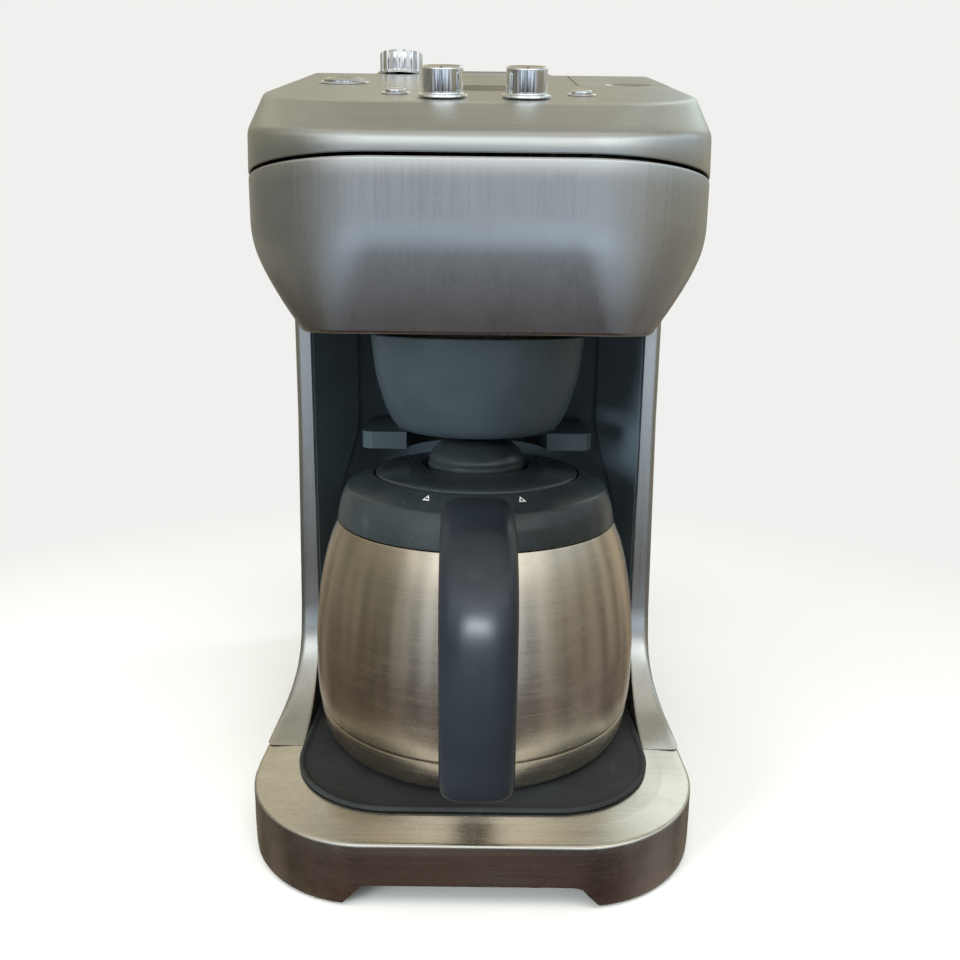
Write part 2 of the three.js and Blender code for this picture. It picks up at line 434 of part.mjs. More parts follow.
// ---------------------------------------------------------------- brew basket and its cradle
{
  let bowl = lathe([[6.4, 194.6], [8.4, 194.6], [8.4, 196.9], [36, 197.6], [41.8, 200.6], [46.4, 208], [51.6, 226], [54, 246],
    [52, 246], [49.5, 226.5], [44.4, 209.5], [40.4, 203.4], [35, 200.4], [12, 199.2], [3.2, 199.2], [3.2, 198.4], [6.4, 198.4], [6.4, 194.6]], 28, CX, CY);
  piece("brew_basket", bowl, GREY);
  piece("mesh_filter", lathe([[0, 203.2], [12, 203.2], [33, 203.8], [38, 206], [41, 212], [48.4, 238], [48.4, 243.5], [47.2, 243.5], [47.2, 238.3], [39.8, 212.5], [37.2, 207], [32.6, 204.9], [12, 204.4], [0, 204.4]], 20, CX, CY), WARM);
  piece("drip_stop_valve", lathe([[0, 193.9], [5.6, 193.9], [5.6, 195], [2.2, 195.2], [2.2, 199.5], [4.6, 199.5], [4.6, 200.7], [0, 200.9]], 12, CX, CY), RUBBER);
  piece("drip_stop_spring", tube(2.8, 5.0, 195.5, 198.1, 10, CX, CY), ZINC);
  // U-shaped cradle on the liner's back wall
  let arms = loft([outline(62, -23, 54, 6, 28, 184, 3, 5), outline(62, -23, 54, 6, 28, 193, 3, 5)]);
  arms = arms.subtract(rod(38, 180, 200, 32, 0, -26)).subtract(box(-38, 38, -70, -26, 180, 200));
  // conical seat under the rear of the basket
  const seat = lathe([[42.2, 190], [50, 190], [50, 200], [47.5, 206], [46, 206], [42.2, 199.8], [42.2, 190]], 32, CX, CY);
  arms = arms.add(seat.intersect(box(-60, 60, -10, 40, 180, 220)));
  const wall = lathe([[0, 170], [CAVITY_R - 0.4, 170], [CAVITY_R - 0.4, 210], [0, 210]], 48, CX, CY);
  piece("basket_cradle", arms.intersect(wall), GREY);
}

// ---------------------------------------------------------------- thermal carafe
{
  const S = 30;
  const bodyOut = [[83.5, 53.4], [85, 68], [85, 88], [82.8, 112], [78.6, 134], [72.6, 151.8]];
  piece("carafe_base_cup", lathe([[0, 37.2], [70, 37.2], [71, 36.3], [77, 36.3], [79.6, 38.6], [81.6, 44], [83.4, 53], [81.6, 53], [79.8, 45], [77.4, 39.6], [0, 39.6]], S, CX, CY), STEEL);
  piece("carafe_body", lathe([...bodyOut, [71.2, 151.8], [77, 133.6], [81.2, 111.6], [83.3, 88], [83.3, 68], [81.9, 53.4], [83.5, 53.4]], S, CX, CY), STEEL);
  piece("carafe_flask", lathe([[0, 46], [62, 46], [76, 56], [78, 84], [75, 112], [66, 136], [47.4, 152], [47.4, 158], [46, 158], [46, 151.4], [64.8, 135.2], [73.6, 111.6], [76.6, 84], [74.8, 56.8], [61.6, 47.4], [0, 47.4]], 24, CX, CY), STEEL);
  const collar = lathe([[72.4, 152.2], [71.2, 160], [69.4, 165.6], [67.4, 168.8], [54.2, 175.2], [53, 174.8], [53, 166], [47.8, 163], [47.8, 158.3], [49.4, 158.3], [62, 163], [70.6, 152.2], [72.4, 152.2]], S, CX, CY);
  piece("carafe_collar", collar, BLACK);
  piece("carafe_lid", lathe([[27.2, 166], [45.6, 160], [47.4, 163.4], [52.6, 166.4], [52.6, 175.4], [50.8, 176.6], [28.4, 179.2], [26.2, 177.6], [26.2, 170], [14, 168.6], [14, 166.6], [27.2, 166]], S, CX, CY), BLACK);
  piece("lid_button", lathe([[0, 160], [4, 160], [4, 172.6], [24.4, 173.4], [25.3, 175], [25.3, 181.8], [24.4, 184], [21.4, 187.6], [18.8, 190.4], [15, 192.1], [9, 192.6], [7, 191.6], [0, 191.2]], 22, CX, CY), GREY);

  // handle: rounded-rectangle sections along a hanging C
  const path = [[-94, 166.5, 15], [-106, 168.5, 18], [-120, 167.2, 20], [-134, 162.5, 21.5], [-146, 153.5, 22.4], [-152.6, 140.5, 22.6], [-154, 124, 21.6], [-154, 104, 21], [-153.4, 86, 20.6], [-152.2, 72, 20], [-151, 64, 17], [-150.4, 60.5, 11]];
  const ringAt = (i) => {
    const [y, z, t] = path[i], a = path[Math.max(0, i - 1)], b = path[Math.min(path.length - 1, i + 1)];
    const dy = b[0] - a[0], dz = b[1] - a[1], l = Math.hypot(dy, dz), ny = -dz / l, nz = dy / l; // in-plane normal
    const half = i === path.length - 1 ? 12.6 : i === path.length - 2 ? 15.2 : 16.4, r = Math.min(7, t * 0.36), pts = [];
    for (const [sx, st, a0] of [[1, -1, -90], [1, 1, 0], [-1, 1, 90], [-1, -1, 180]]) for (let k = 0; k <= 2; k++) {
      const ang = ((a0 + 45 * k) * Math.PI) / 180;
      const X = sx * (half - r) + r * Math.cos(ang), T = st * (t / 2 - r) + r * Math.sin(ang);
      pts.push([X, y + T * ny, z + T * nz]);
    }
    return pts;
  };
  // the carafe stands turned by one degree about its own axis
  const turn = Math.PI / 180, turned = ([x, y, z]) => [CX + (x - CX) * Math.cos(turn) - (y - CY) * Math.sin(turn), CY + (x - CX) * Math.sin(turn) + (y - CY) * Math.cos(turn), z];
  let handle = loft(path.map((_, i) => ringAt(i).map(turned)), { u: 0, v: 2 });
  const keep = lathe([[0, 40], [84, 40], [85.4, 84], [83.4, 111], [77.2, 140.6], [73, 152], [71.6, 160.2], [69.8, 165.8], [67.9, 169.2], [54, 176], [0, 176]], 30, CX, CY);
  handle = handle.subtract(keep);
  piece("carafe_handle", handle, BLACK);
}
export default root;
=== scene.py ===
# Grind-and-brew drip coffee maker: detailed surface meshes and materials
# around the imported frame. Lengths below are in millimetres until mesh() scales them.
import bpy, bmesh, math, random
from mathutils import Vector, Matrix


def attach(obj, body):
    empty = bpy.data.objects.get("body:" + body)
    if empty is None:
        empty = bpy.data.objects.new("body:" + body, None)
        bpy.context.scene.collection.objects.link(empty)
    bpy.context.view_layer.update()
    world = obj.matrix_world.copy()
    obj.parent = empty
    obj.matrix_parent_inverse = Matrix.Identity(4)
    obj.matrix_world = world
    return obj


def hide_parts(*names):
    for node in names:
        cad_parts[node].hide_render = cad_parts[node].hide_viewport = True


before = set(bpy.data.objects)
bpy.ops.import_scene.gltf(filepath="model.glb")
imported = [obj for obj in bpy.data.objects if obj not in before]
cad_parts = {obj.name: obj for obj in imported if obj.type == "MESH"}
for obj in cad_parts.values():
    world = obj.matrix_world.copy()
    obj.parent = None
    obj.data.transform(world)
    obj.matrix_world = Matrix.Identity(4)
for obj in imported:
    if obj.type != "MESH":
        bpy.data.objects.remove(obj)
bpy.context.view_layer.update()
random.seed(7)
MM = 0.001

# ------------------------------------------------------------------ dimensions (as in the CAD)
HALF_W, BASE_FRONT, REAR, BASE_R, REAR_R = 108, -147, 164.8, 61, 24
DECK_Z, EDGE_Z, ARCH_Z = 33.6, 32, 11.5
COL_W, COL_IN, COL_FRONT, COL_REAR, FILLET, FLARE_TOP = 98, 89, -14, 154.8, 58, 80
CX, CY, CAVITY_R = 0, -35, 93
HEAD_FRONT, HEAD_R, HEAD_W = -119.2, 66, 106
HL_Z, HL_W, HL_FRONT, HL_R, HL_REAR = 249, 77, -112.6, 24, 139.8
CREASE_LOW = 289
PANEL_FRONT, PANEL_Z, PANEL_REAR, TOP_Z, PANEL_W, PANEL_R = -93, 344, 63, 390.5, 98.5, 42
TILT = math.atan((TOP_Z - PANEL_Z) / (PANEL_REAR - PANEL_FRONT))
panel = lambda y: PANEL_Z + (y - PANEL_FRONT) * math.tan(TILT)
seam = lambda y: 320.4 - 0.055 * (y - HEAD_FRONT)
crease = lambda y: 328 + 0.166 * (y - HEAD_FRONT)

# ------------------------------------------------------------------ mesh helpers
def mesh(name, verts, faces, mat=None, angle=28, smooth=True):
    me = bpy.data.meshes.new(name)
    me.from_pydata([(v[0] * MM, v[1] * MM, v[2] * MM) for v in verts], [], faces)
    bm = bmesh.new(); bm.from_mesh(me)
    bmesh.ops.remove_doubles(bm, verts=bm.verts, dist=1e-6)
    bmesh.ops.recalc_face_normals(bm, faces=bm.faces)
    bm.to_mesh(me); bm.free()
    ob = bpy.data.objects.new(name, me)
    bpy.context.scene.collection.objects.link(ob)
    finish_shading(ob, angle, smooth)
    if mat: me.materials.append(mat)
    return ob

def finish_shading(ob, angle=28, smooth=True):
    me = ob.data
    me.polygons.foreach_set("use_smooth", [smooth] * len(me.polygons))
    if smooth: me.set_sharp_from_angle(angle=math.radians(angle))
    me.update()

def corner(cx, cy, r, a0, n):
    return [(cx + r * math.cos(a0 + math.pi / 2 * i / n), cy + r * math.sin(a0 + math.pi / 2 * i / n)) for i in range(n + 1)]

def outline(w, y0, y1, rf, rr, z, nf=24, nr=12, cx=0.0, ys=()):
    p = corner(w - rf, y0 + rf, rf, -math.pi / 2, nf)
    p += [(w, y) for y in ys]
    p += corner(w - rr, y1 - rr, rr, 0, nr)
    p += corner(-w + rr, y1 - rr, rr, math.pi / 2, nr)
    p += [(-w, y) for y in reversed(ys)]
    p += corner(-w + rf, y0 + rf, rf, math.pi, nf)
    zf = z if callable(z) else (lambda x, y: z)
    return [(x + cx, y, zf(x + cx, y)) for x, y in p]

def lerp(a, b, t): return [tuple(p[k] * (1 - t) + q[k] * t for k in range(3)) for p, q in zip(a, b)]

def loft(name, rings, mat=None, loop=False, caps=(True, True), angle=28, split=None):
    n = len(rings[0]); V = [p for r in rings for p in r]; F = []
    m = len(rings)
    for i in range(m if loop else m - 1):
        a, b = i * n, ((i + 1) % m) * n
        for j in range(n):
            k = (j + 1) % n
            F.append((a + j, a + k, b + k, b + j))
    if not loop:
        if caps[0]: F.append(tuple(range(n))[::-1])
        if caps[1]:
            o = (m - 1) * n
            if split:
                i, j = split
                F.append(tuple(o + q for q in range(i, j + 1)))
                F.append(tuple(o + q for q in list(range(j, n)) + list(range(0, i + 1))))
            else: F.append(tuple(range(o, o + n)))
    return mesh(name, V, F, mat, angle)

def smooth_profile(pts, n=6):
    out = []
    for i in range(len(pts) - 1):
        p0, p1, p2, p3 = pts[max(i - 1, 0)], pts[i], pts[i + 1], pts[min(i + 2, len(pts) - 1)]
        for k in range(n):
            t = k / n
            out.append(tuple(0.5 * (2 * p1[c] + (p2[c] - p0[c]) * t + (2 * p0[c] - 5 * p1[c] + 4 * p2[c] - p3[c]) * t * t + (3 * p1[c] - p0[c] - 3 * p2[c] + p3[c]) * t ** 3) for c in range(len(p1))))
    out.append(pts[-1])
    return out

def lathe(name, prof, mat=None, segs=128, x=0.0, y=0.0, loop=False, angle=28):
    V, F, idx = [], [], []
    for r, z in prof:
        if r < 1e-6:
            idx.append([len(V)]); V.append((x, y, z))
        else:
            idx.append(list(range(len(V), len(V) + segs)))
            V += [(x + r * math.cos(2 * math.pi * i / segs), y + r * math.sin(2 * math.pi * i / segs), z) for i in range(segs)]
    m = len(prof)
    for i in range(m if loop else m - 1):
        a, b = idx[i], idx[(i + 1) % m]
        for j in range(segs):
            k = (j + 1) % segs
            if len(a) == 1 and len(b) == 1: continue
            if len(a) == 1: F.append((a[0], b[j], b[k]))
            elif len(b) == 1: F.append((a[j], a[k], b[0]))
            else: F.append((a[j], a[k], b[k], b[j]))
    return mesh(name, V, F, mat, angle)

def box(name, x0, x1, y0, y1, z0, z1, mat=None):
    V = [(x, y, z) for z in (z0, z1) for x, y in ((x0, y0), (x1, y0), (x1, y1), (x0, y1))]
    return mesh(name, V, [(3, 2, 1, 0), (4, 5, 6, 7), (0, 1, 5, 4), (1, 2, 6, 5), (2, 3, 7, 6), (3, 0, 4, 7)], mat)

def prism(name, poly, a, b, axis, mat=None):
    put = (lambda p, t: (t, p[0], p[1])) if axis == "x" else (lambda p, t: (p[0], t, p[1]))
    n = len(poly)
    V = [put(p, a) for p in poly] + [put(p, b) for p in poly]
    F = [tuple(range(n)), tuple(range(n, 2 * n))[::-1]] + [(i, (i + 1) % n, n + (i + 1) % n, n + i) for i in range(n)]
    return mesh(name, V, F, mat)

def bevel(ob, w, segs=2, angle=40):
    m = ob.modifiers.new("bevel", "BEVEL"); m.width = w * MM; m.segments = segs
    m.limit_method = "ANGLE"; m.angle_limit = math.radians(angle); m.harden_normals = False
    return ob

def apply(ob, angle=28):
    dg = bpy.context.evaluated_depsgraph_get()
    me = bpy.data.meshes.new_from_object(ob.evaluated_get(dg), depsgraph=dg)
    old = ob.data; ob.modifiers.clear(); ob.data = me
    bpy.data.meshes.remove(old)
    finish_shading(ob, angle)
    return ob

def boolean(ob, cutters, op="DIFFERENCE", angle=28):
    for c in cutters:
        m = ob.modifiers.new("b", "BOOLEAN"); m.operation = op; m.object = c; m.solver = "EXACT"
    apply(ob, angle)
    for c in cutters: bpy.data.objects.remove(c)
    return ob

def on_panel(ob, x, y, lift=0.0):
    """Moves a piece built about +Z at the origin onto the sloped panel."""
    M = Matrix.Translation(Vector((x, y, panel(y))) * MM) @ Matrix.Rotation(TILT, 4, "X") @ Matrix.Translation((0, 0, lift * MM))
    ob.data.transform(M)
    return ob

# ------------------------------------------------------------------ materials
class N:
    def __init__(s, name):
        s.m = bpy.data.materials.new(name); s.m.use_nodes = True
        s.t = s.m.node_tree; s.p = s.t.nodes["Principled BSDF"]
        s.tc = s.t.nodes.new("ShaderNodeTexCoord")
    def new(s, kind, **kw):
        n = s.t.nodes.new(kind)
        for k, v in kw.items():
            if k.startswith("_"): setattr(n, k[1:], v)
            else: n.inputs[k].default_value = v
        return n
    def link(s, a, b): s.t.links.new(a, b)
    def noise(s, scale, detail=3.0, rough=0.5, stretch=(1, 1, 1), distortion=0.0):
        mp = s.new("ShaderNodeMapping"); mp.inputs["Scale"].default_value = stretch
        s.link(s.tc.outputs["Object"], mp.inputs["Vector"])
        n = s.new("ShaderNodeTexNoise", Scale=scale, Detail=detail, Roughness=rough, Distortion=distortion)
        s.link(mp.outputs["Vector"], n.inputs["Vector"])
        return n.outputs["Fac"]
    def ramp(s, fac, stops):
        r = s.new("ShaderNodeValToRGB"); e = r.color_ramp.elements
        while len(e) < len(stops): e.new(0.5)
        for el, (pos, col) in zip(e, stops):
            el.position = pos; el.color = (col, col, col, 1) if isinstance(col, (int, float)) else (*col, 1)
        s.link(fac, r.inputs["Fac"]); return r.outputs["Color"]
    def range(s, v, a, b, c, d):
        r = s.new("ShaderNodeMapRange"); r.clamp = True
        for k, x in zip(("From Min", "From Max", "To Min", "To Max"), (a, b, c, d)): r.inputs[k].default_value = x
        s.link(v, r.inputs["Value"]); return r.outputs["Result"]
    def math(s, op, a, b=None):
        n = s.new("ShaderNodeMath", _operation=op)
        for i, v in enumerate((a, b)):
            if v is None: continue
            if isinstance(v, (int, float)): n.inputs[i].default_value = v
            else: s.link(v, n.inputs[i])
        return n.outputs[0]
    def mix(s, fac, a, b, blend="MIX"):
        n = s.new("ShaderNodeMix", _data_type="RGBA", _blend_type=blend)
        for sock, v in ((n.inputs[0], fac), (n.inputs[6], a), (n.inputs[7], b)):
            if isinstance(v, (int, float)): sock.default_value = v
            elif isinstance(v, tuple): sock.default_value = (*v, 1)
            else: s.link(v, sock)
        return n.outputs[2]
    def bump(s, h, strength, dist=0.001, prev=None):
        b = s.new("ShaderNodeBump", Strength=strength, Distance=dist)
        s.link(h, b.inputs["Height"])
        if prev: s.link(prev, b.inputs["Normal"])
        return b.outputs["Normal"]
    def edge(s, radius=0.0012):
        """1 along convex edges, 0 on open faces."""
        b = s.new("ShaderNodeBevel", Radius=radius); b.samples = 6
        g = s.new("ShaderNodeNewGeometry")
        d = s.new("ShaderNodeVectorMath", _operation="DOT_PRODUCT")
        s.link(b.outputs["Normal"], d.inputs[0]); s.link(g.outputs["Normal"], d.inputs[1])
        return s.range(d.outputs["Value"], 0.97, 0.80, 0.0, 1.0)

def steel(name, base, rough, grain="z", aniso=0.65, rot=0.0, tint=None, smudge=0.5, bumpy=0.10, coarse=1.0, contrast=0.5):
    s = N(name); p = s.p
    p.inputs["Metallic"].default_value = 1.0
    p.inputs["Anisotropic"].default_value = aniso
    p.inputs["Anisotropic Rotation"].default_value = rot
    tg = s.new("ShaderNodeTangent", _direction_type="RADIAL", _axis="Z"); s.link(tg.outputs[0], p.inputs["Tangent"])
    st = {"z": (1, 1, 0.012), "y": (1, 0.010, 1), "x": (0.010, 1, 1), "ring": (0.012, 0.012, 1)}[grain]
    fine = s.noise(2600 * coarse, 2.0, 0.6, st)
    mid = s.noise(620 * coarse, 3.0, 0.62, st)
    broad = s.noise(95 * coarse, 2.0, 0.5, st)
    cloud = s.noise(14, 4.0, 0.6)
    wipe = s.noise(42, 5.0, 0.65, (1, 0.6, 1.4), 0.6)
    streak = s.math("ADD", s.math("MULTIPLY", fine, 0.45), s.math("ADD", s.math("MULTIPLY", mid, 0.35), s.math("MULTIPLY", broad, 0.20)))
    dark = tuple(c * (1 - 0.20 * contrast) for c in base); lite = tuple(min(1.0, c * (1 + 0.13 * contrast)) for c in base)
    col = s.mix(s.range(streak, 0.36, 0.64, 0, 1), dark, lite)
    if tint: col = s.mix(s.range(cloud, 0.35, 0.7, 0.0, 0.55), col, tint, "MULTIPLY")
    col = s.mix(s.range(wipe, 0.58, 0.80, 0.0, 0.16 * smudge), col, (0.30, 0.28, 0.25))
    s.link(col, p.inputs["Base Color"])
    r = s.math("ADD", s.range(streak, 0.3, 0.7, rough - 0.05, rough + 0.05), s.range(wipe, 0.5, 0.82, 0.0, 0.14 * smudge))
    s.link(r, p.inputs["Roughness"])
    s.link(s.bump(streak, bumpy, 0.0004), p.inputs["Normal"])
    return s.m

def plastic(name, base, rough, grain=1500, bumpy=0.12, wear=0.5, coat=0.0, dust=0.15, spec=0.5):
    s = N(name); p = s.p
    p.inputs["Specular IOR Level"].default_value = spec
    p.inputs["Coat Weight"].default_value = coat; p.inputs["Coat Roughness"].default_value = 0.25
    tex = s.noise(grain, 2.0, 0.5); cloud = s.noise(22, 4.0, 0.6); scr = s.noise(260, 3.0, 0.7, (1, 1, 0.06), 0.3)
    e = s.edge(0.0010)
    c0 = tuple(c * 0.86 for c in base); c1 = tuple(c * 1.16 for c in base)
    col = s.mix(s.range(cloud, 0.35, 0.68, 0, 1), c0, c1)
    col = s.mix(s.range(s.noise(55, 5.0, 0.7), 0.60, 0.86, 0.0, dust), col, (0.33, 0.32, 0.30))
    col = s.mix(s.math("MULTIPLY", e, wear * 0.35), col, tuple(min(1, c * 2.3 + 0.03) for c in base))
    s.link(col, p.inputs["Base Color"])
    r = s.math("ADD", s.range(cloud, 0.3, 0.7, rough - 0.07, rough + 0.08), s.range(scr, 0.55, 0.8, 0.0, 0.10))
    s.link(r, p.inputs["Roughness"])
    s.link(s.bump(tex, bumpy, 0.00025), p.inputs["Normal"])
    return s.m

def chrome(name, rough=0.06):
    s = N(name); p = s.p
    p.inputs["Metallic"].default_value = 1.0
    cloud = s.noise(60, 4.0, 0.6); hair = s.noise(900, 2.0, 0.6, (1, 1, 0.05))
    s.link(s.mix(s.range(cloud, 0.4, 0.7, 0, 1), (0.80, 0.81, 0.83), (0.90, 0.90, 0.91)), p.inputs["Base Color"])
    s.link(s.math("ADD", s.range(cloud, 0.35, 0.75, rough * 0.7, rough * 1.7), s.range(hair, 0.55, 0.8, 0.0, 0.05)), p.inputs["Roughness"])
    s.link(s.bump(hair, 0.02, 0.0002), p.inputs["Normal"])
    return s.m

def rubber(name, base=(0.021, 0.024, 0.024)):
    s = N(name); p = s.p
    tex = s.noise(900, 4.0, 0.65); cloud = s.noise(26, 5.0, 0.65); dust = s.noise(120, 5.0, 0.75)
    col = s.mix(s.range(cloud, 0.35, 0.7, 0, 1), tuple(c * 0.8 for c in base), tuple(c * 1.35 for c in base))
    col = s.mix(s.range(dust, 0.62, 0.82, 0, 0.22), col, (0.30, 0.26, 0.21))
    s.link(col, p.inputs["Base Color"])
    s.link(s.range(cloud, 0.3, 0.7, 0.55, 0.78), p.inputs["Roughness"])
    s.link(s.bump(tex, 0.25, 0.0003), p.inputs["Normal"])
    p.inputs["Specular IOR Level"].default_value = 0.42
    return s.m

STEEL = steel("brushed_steel_head", (0.61, 0.62, 0.63), 0.29, "z", 0.72, bumpy=0.035, contrast=0.28)
STEEL_TOP = steel("brushed_steel_top", (0.60, 0.615, 0.605), 0.30, "x", 0.4, bumpy=0.04, contrast=0.35)
STEEL_BASE = steel("brushed_steel_base", (0.80, 0.765, 0.69), 0.26, "x", 0.4, smudge=1.0, bumpy=0.07, contrast=0.8)
STEEL_COL = steel("brushed_steel_column", (0.64, 0.64, 0.62), 0.28, "z", 0.6, bumpy=0.06)
STEEL_CARAFE = steel("brushed_steel_carafe", (0.74, 0.645, 0.53), 0.25, "ring", 0.85, 0.25, smudge=0.8, bumpy=0.045, contrast=0.3)
CHROME = chrome("polished_chrome")
BLACK = plastic("black_plastic", (0.020, 0.024, 0.029), 0.42, dust=0.06)
LINER = plastic("liner_plastic", (0.088, 0.118, 0.138), 0.40, grain=900, bumpy=0.14, dust=0.06)
COLLAR = plastic("collar_plastic", (0.017, 0.022, 0.024), 0.27, grain=1700, bumpy=0.05, dust=0.10)
HANDLE = plastic("handle_plastic", (0.010, 0.013, 0.017), 0.32, grain=2200, bumpy=0.04, dust=0.05)
BASKET = plastic("basket_plastic", (0.027, 0.039, 0.046), 0.40, grain=1400, bumpy=0.10, dust=0.06)
WHITE = plastic("white_plastic", (0.62, 0.62, 0.59), 0.45, dust=0.05)
RUBBER = rubber("mat_rubber")
ZINC = steel("machined_zinc", (0.50, 0.51, 0.53), 0.36, "z", 0.3)
BRASS = steel("machined_brass", (0.72, 0.52, 0.24), 0.34, "z", 0.3)
MESHM = steel("filter_mesh", (0.55, 0.48, 0.36), 0.42, "z", 0.2)

def glassy(name, base, rough, trans):
    s = N(name); p = s.p
    cloud = s.noise(35, 4.0, 0.6)
    s.link(s.mix(s.range(cloud, 0.35, 0.7, 0, 1), tuple(c * 0.92 for c in base), base), p.inputs["Base Color"])
    s.link(s.range(cloud, 0.3, 0.8, rough, rough + 0.12), p.inputs["Roughness"])
    p.inputs["Transmission Weight"].default_value = trans
    p.inputs["IOR"].default_value = 1.49
    s.link(s.bump(s.noise(1200, 2.0), 0.02, 0.0002), p.inputs["Normal"])
    return s.m
CLEAR = glassy("smoky_clear_plastic", (0.62, 0.66, 0.68), 0.10, 0.75)
WINDOW = glassy("display_glass", (0.012, 0.016, 0.020), 0.05, 0.0)

def board_mat():
    s = N("circuit_board"); p = s.p
    v = s.new("ShaderNodeTexBrick", Scale=70.0); s.link(s.tc.outputs["Object"], v.inputs["Vector"])
    v.inputs["Color1"].default_value = (0.02, 0.16, 0.07, 1); v.inputs["Color2"].default_value = (0.015, 0.11, 0.05, 1); v.inputs["Mortar"].default_value = (0.35, 0.30, 0.12, 1)
    s.link(v.outputs["Color"], p.inputs["Base Color"]); s.link(s.range(v.outputs["Fac"], 0, 1, 0.5, 0.3), p.inputs["Roughness"])
    return s.m
BOARD = board_mat()

# ------------------------------------------------------------------ camera
cam = bpy.data.objects.new("camera", bpy.data.cameras.new("camera"))
bpy.context.scene.collection.objects.link(cam)
cam.data.sensor_width = 36; cam.data.lens = 850 / 960 * 36
cam.data.clip_start = 0.01; cam.data.clip_end = 50
cam.matrix_world = Matrix.Translation((0.002, -0.4728, 0.267)) @ Matrix.Rotation(math.radians(90 - 12.51), 4, "X") @ Matrix.Rotation(math.radians(0.66), 4, "Z")
bpy.context.scene.camera = cam

# ------------------------------------------------------------------ base
def ring_base(inset, z): return outline(HALF_W - inset, BASE_FRONT + inset, REAR - inset, BASE_R - inset, REAR_R - min(inset, 20), z, 32, 12)
edge_z = lambda x, y: EDGE_Z + (DECK_Z - EDGE_Z) * min(1.0, max(0.0, (y + 110) / 40))
def down(d): return lambda x, y: edge_z(x, y) - d
rings = [ring_base(2.6, 26), ring_base(2.6, 2.6), ring_base(2.2, 1.6), ring_base(1.0, 1.2), ring_base(0.35, 2.2), ring_base(0.1, 6), ring_base(0, 14), ring_base(0, 22),
         ring_base(0, down(1.7)), ring_base(0.08, down(1.1)), ring_base(0.32, down(0.6)), ring_base(0.75, down(0.22)), ring_base(1.3, edge_z), ring_base(2.2, lambda x, y: edge_z(x, y) + 0.12)]
deck = ring_base(14, DECK_Z)
for t in (0.25, 0.5, 0.75, 0.92): rings.append(lerp(rings[13], deck, t))
rings += [deck]
base = loft("base_shell_steel", rings, STEEL_BASE, caps=(False, True), angle=24)
under = loft("u", [ring_base(2.6, 26), ring_base(16, 31.2)], None, caps=(False, True))
bm = bmesh.new(); bm.from_mesh(base.data); bm.from_mesh(under.data)
bmesh.ops.remove_doubles(bm, verts=bm.verts, dist=2e-6); bmesh.ops.recalc_face_normals(bm, faces=bm.faces); bm.to_mesh(base.data); bm.free()
bpy.data.objects.remove(under)
def arch(x0, x1):  # trapezoid with eased corners
    pts = [(-x1 - 3, -5), (-x1 - 0.6, 0.5)]
    for i in range(7):
        a = i / 6; pts.append((-x1 + 1.5 + (x1 - x0 - 3) * a, 1.6 + (ARCH_Z - 2.6) * a))
    pts += [(-x0 + 0.9, ARCH_Z - 0.25), (-x0 + 3, ARCH_Z)]
    return pts + [(-x, z) for x, z in reversed(pts)]
side_arch = [(-64, -5), (-62, 0.8), (-53, 8.4), (-50, 9), (80, 9), (83, 8.4), (92, 0.8), (94, -5)]
boolean(base, [prism("a", arch(47.6, 58.6), -170, -120, "y"), prism("a", arch(46, 57), 140, 190, "y"), prism("a", side_arch, -130, 130, "x")], angle=24)
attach(base, "housing"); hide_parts("base_shell")

# ------------------------------------------------------------------ drip mat, with a raised lip
def mat_ring(inset, z):
    h, rf, f = 88.3 - inset, 50 - inset, -126 + inset
    p = [(h - rf + rf * math.cos(-math.pi / 2 + math.pi / 2 * i / 20), f + rf + rf * math.sin(-math.pi / 2 + math.pi / 2 * i / 20)) for i in range(21)]
    p += [(h * math.cos(math.pi * i / 48), CY + h * math.sin(math.pi * i / 48)) for i in range(49)]
    p += [(-h + rf + rf * math.cos(math.pi + math.pi / 2 * i / 20), f + rf + rf * math.sin(math.pi + math.pi / 2 * i / 20)) for i in range(21)]
    return [(x, y, z) for x, y in p]
matp = loft("drip_mat_rubber", [mat_ring(0.6, 33.8), mat_ring(0.05, 34.2), mat_ring(0, 35.4), mat_ring(0.3, 35.85), mat_ring(0.9, 36.05), mat_ring(1.8, 36.0), mat_ring(2.5, 35.7), mat_ring(2.9, 35.25), mat_ring(3.6, 35.1), mat_ring(20, 35.1)], RUBBER, angle=50)
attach(matp, "drip_mat"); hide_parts("drip_mat")

# ------------------------------------------------------------------ column
flare = lambda z: 0.0 if z >= FLARE_TOP else 10 * ((FLARE_TOP - z) / (FLARE_TOP - DECK_Z)) ** 2
def front_y(z):
    top = DECK_Z + FILLET
    return COL_FRONT if z >= top else COL_FRONT - (FILLET - math.sqrt(max(0.0, FILLET ** 2 - (top - z) ** 2)))
draft = lambda z: 2 * max(0.0, min(1.0, (200 - z) / 120)) + (8 * ((72 - z) / 38.1) ** 2.4 if z < 72 else 0.0)
def along(v, pts):
    for (a, za), (b, zb) in zip(pts, pts[1:]):
        if v <= b: return za + (v - a) * (zb - za) / (b - a)
    return pts[-1][1]
ztop = lambda x, y: max(along(abs(x), [(0, 249), (77, 249), (87.5, 261), (98, 275), (106, 289)]), along(y, [(-999, 249), (139.8, 249), (148.9, 261), (157.9, 275), (164.8, 289)])) - 0.9
ts = [0, 0.0012, 0.004, 0.009, 0.016, 0.026, 0.04, 0.058, 0.08, 0.105, 0.135, 0.165, 0.2, 0.25, 0.35, 0.5, 0.7, 0.85, 0.93, 0.97, 1.0]
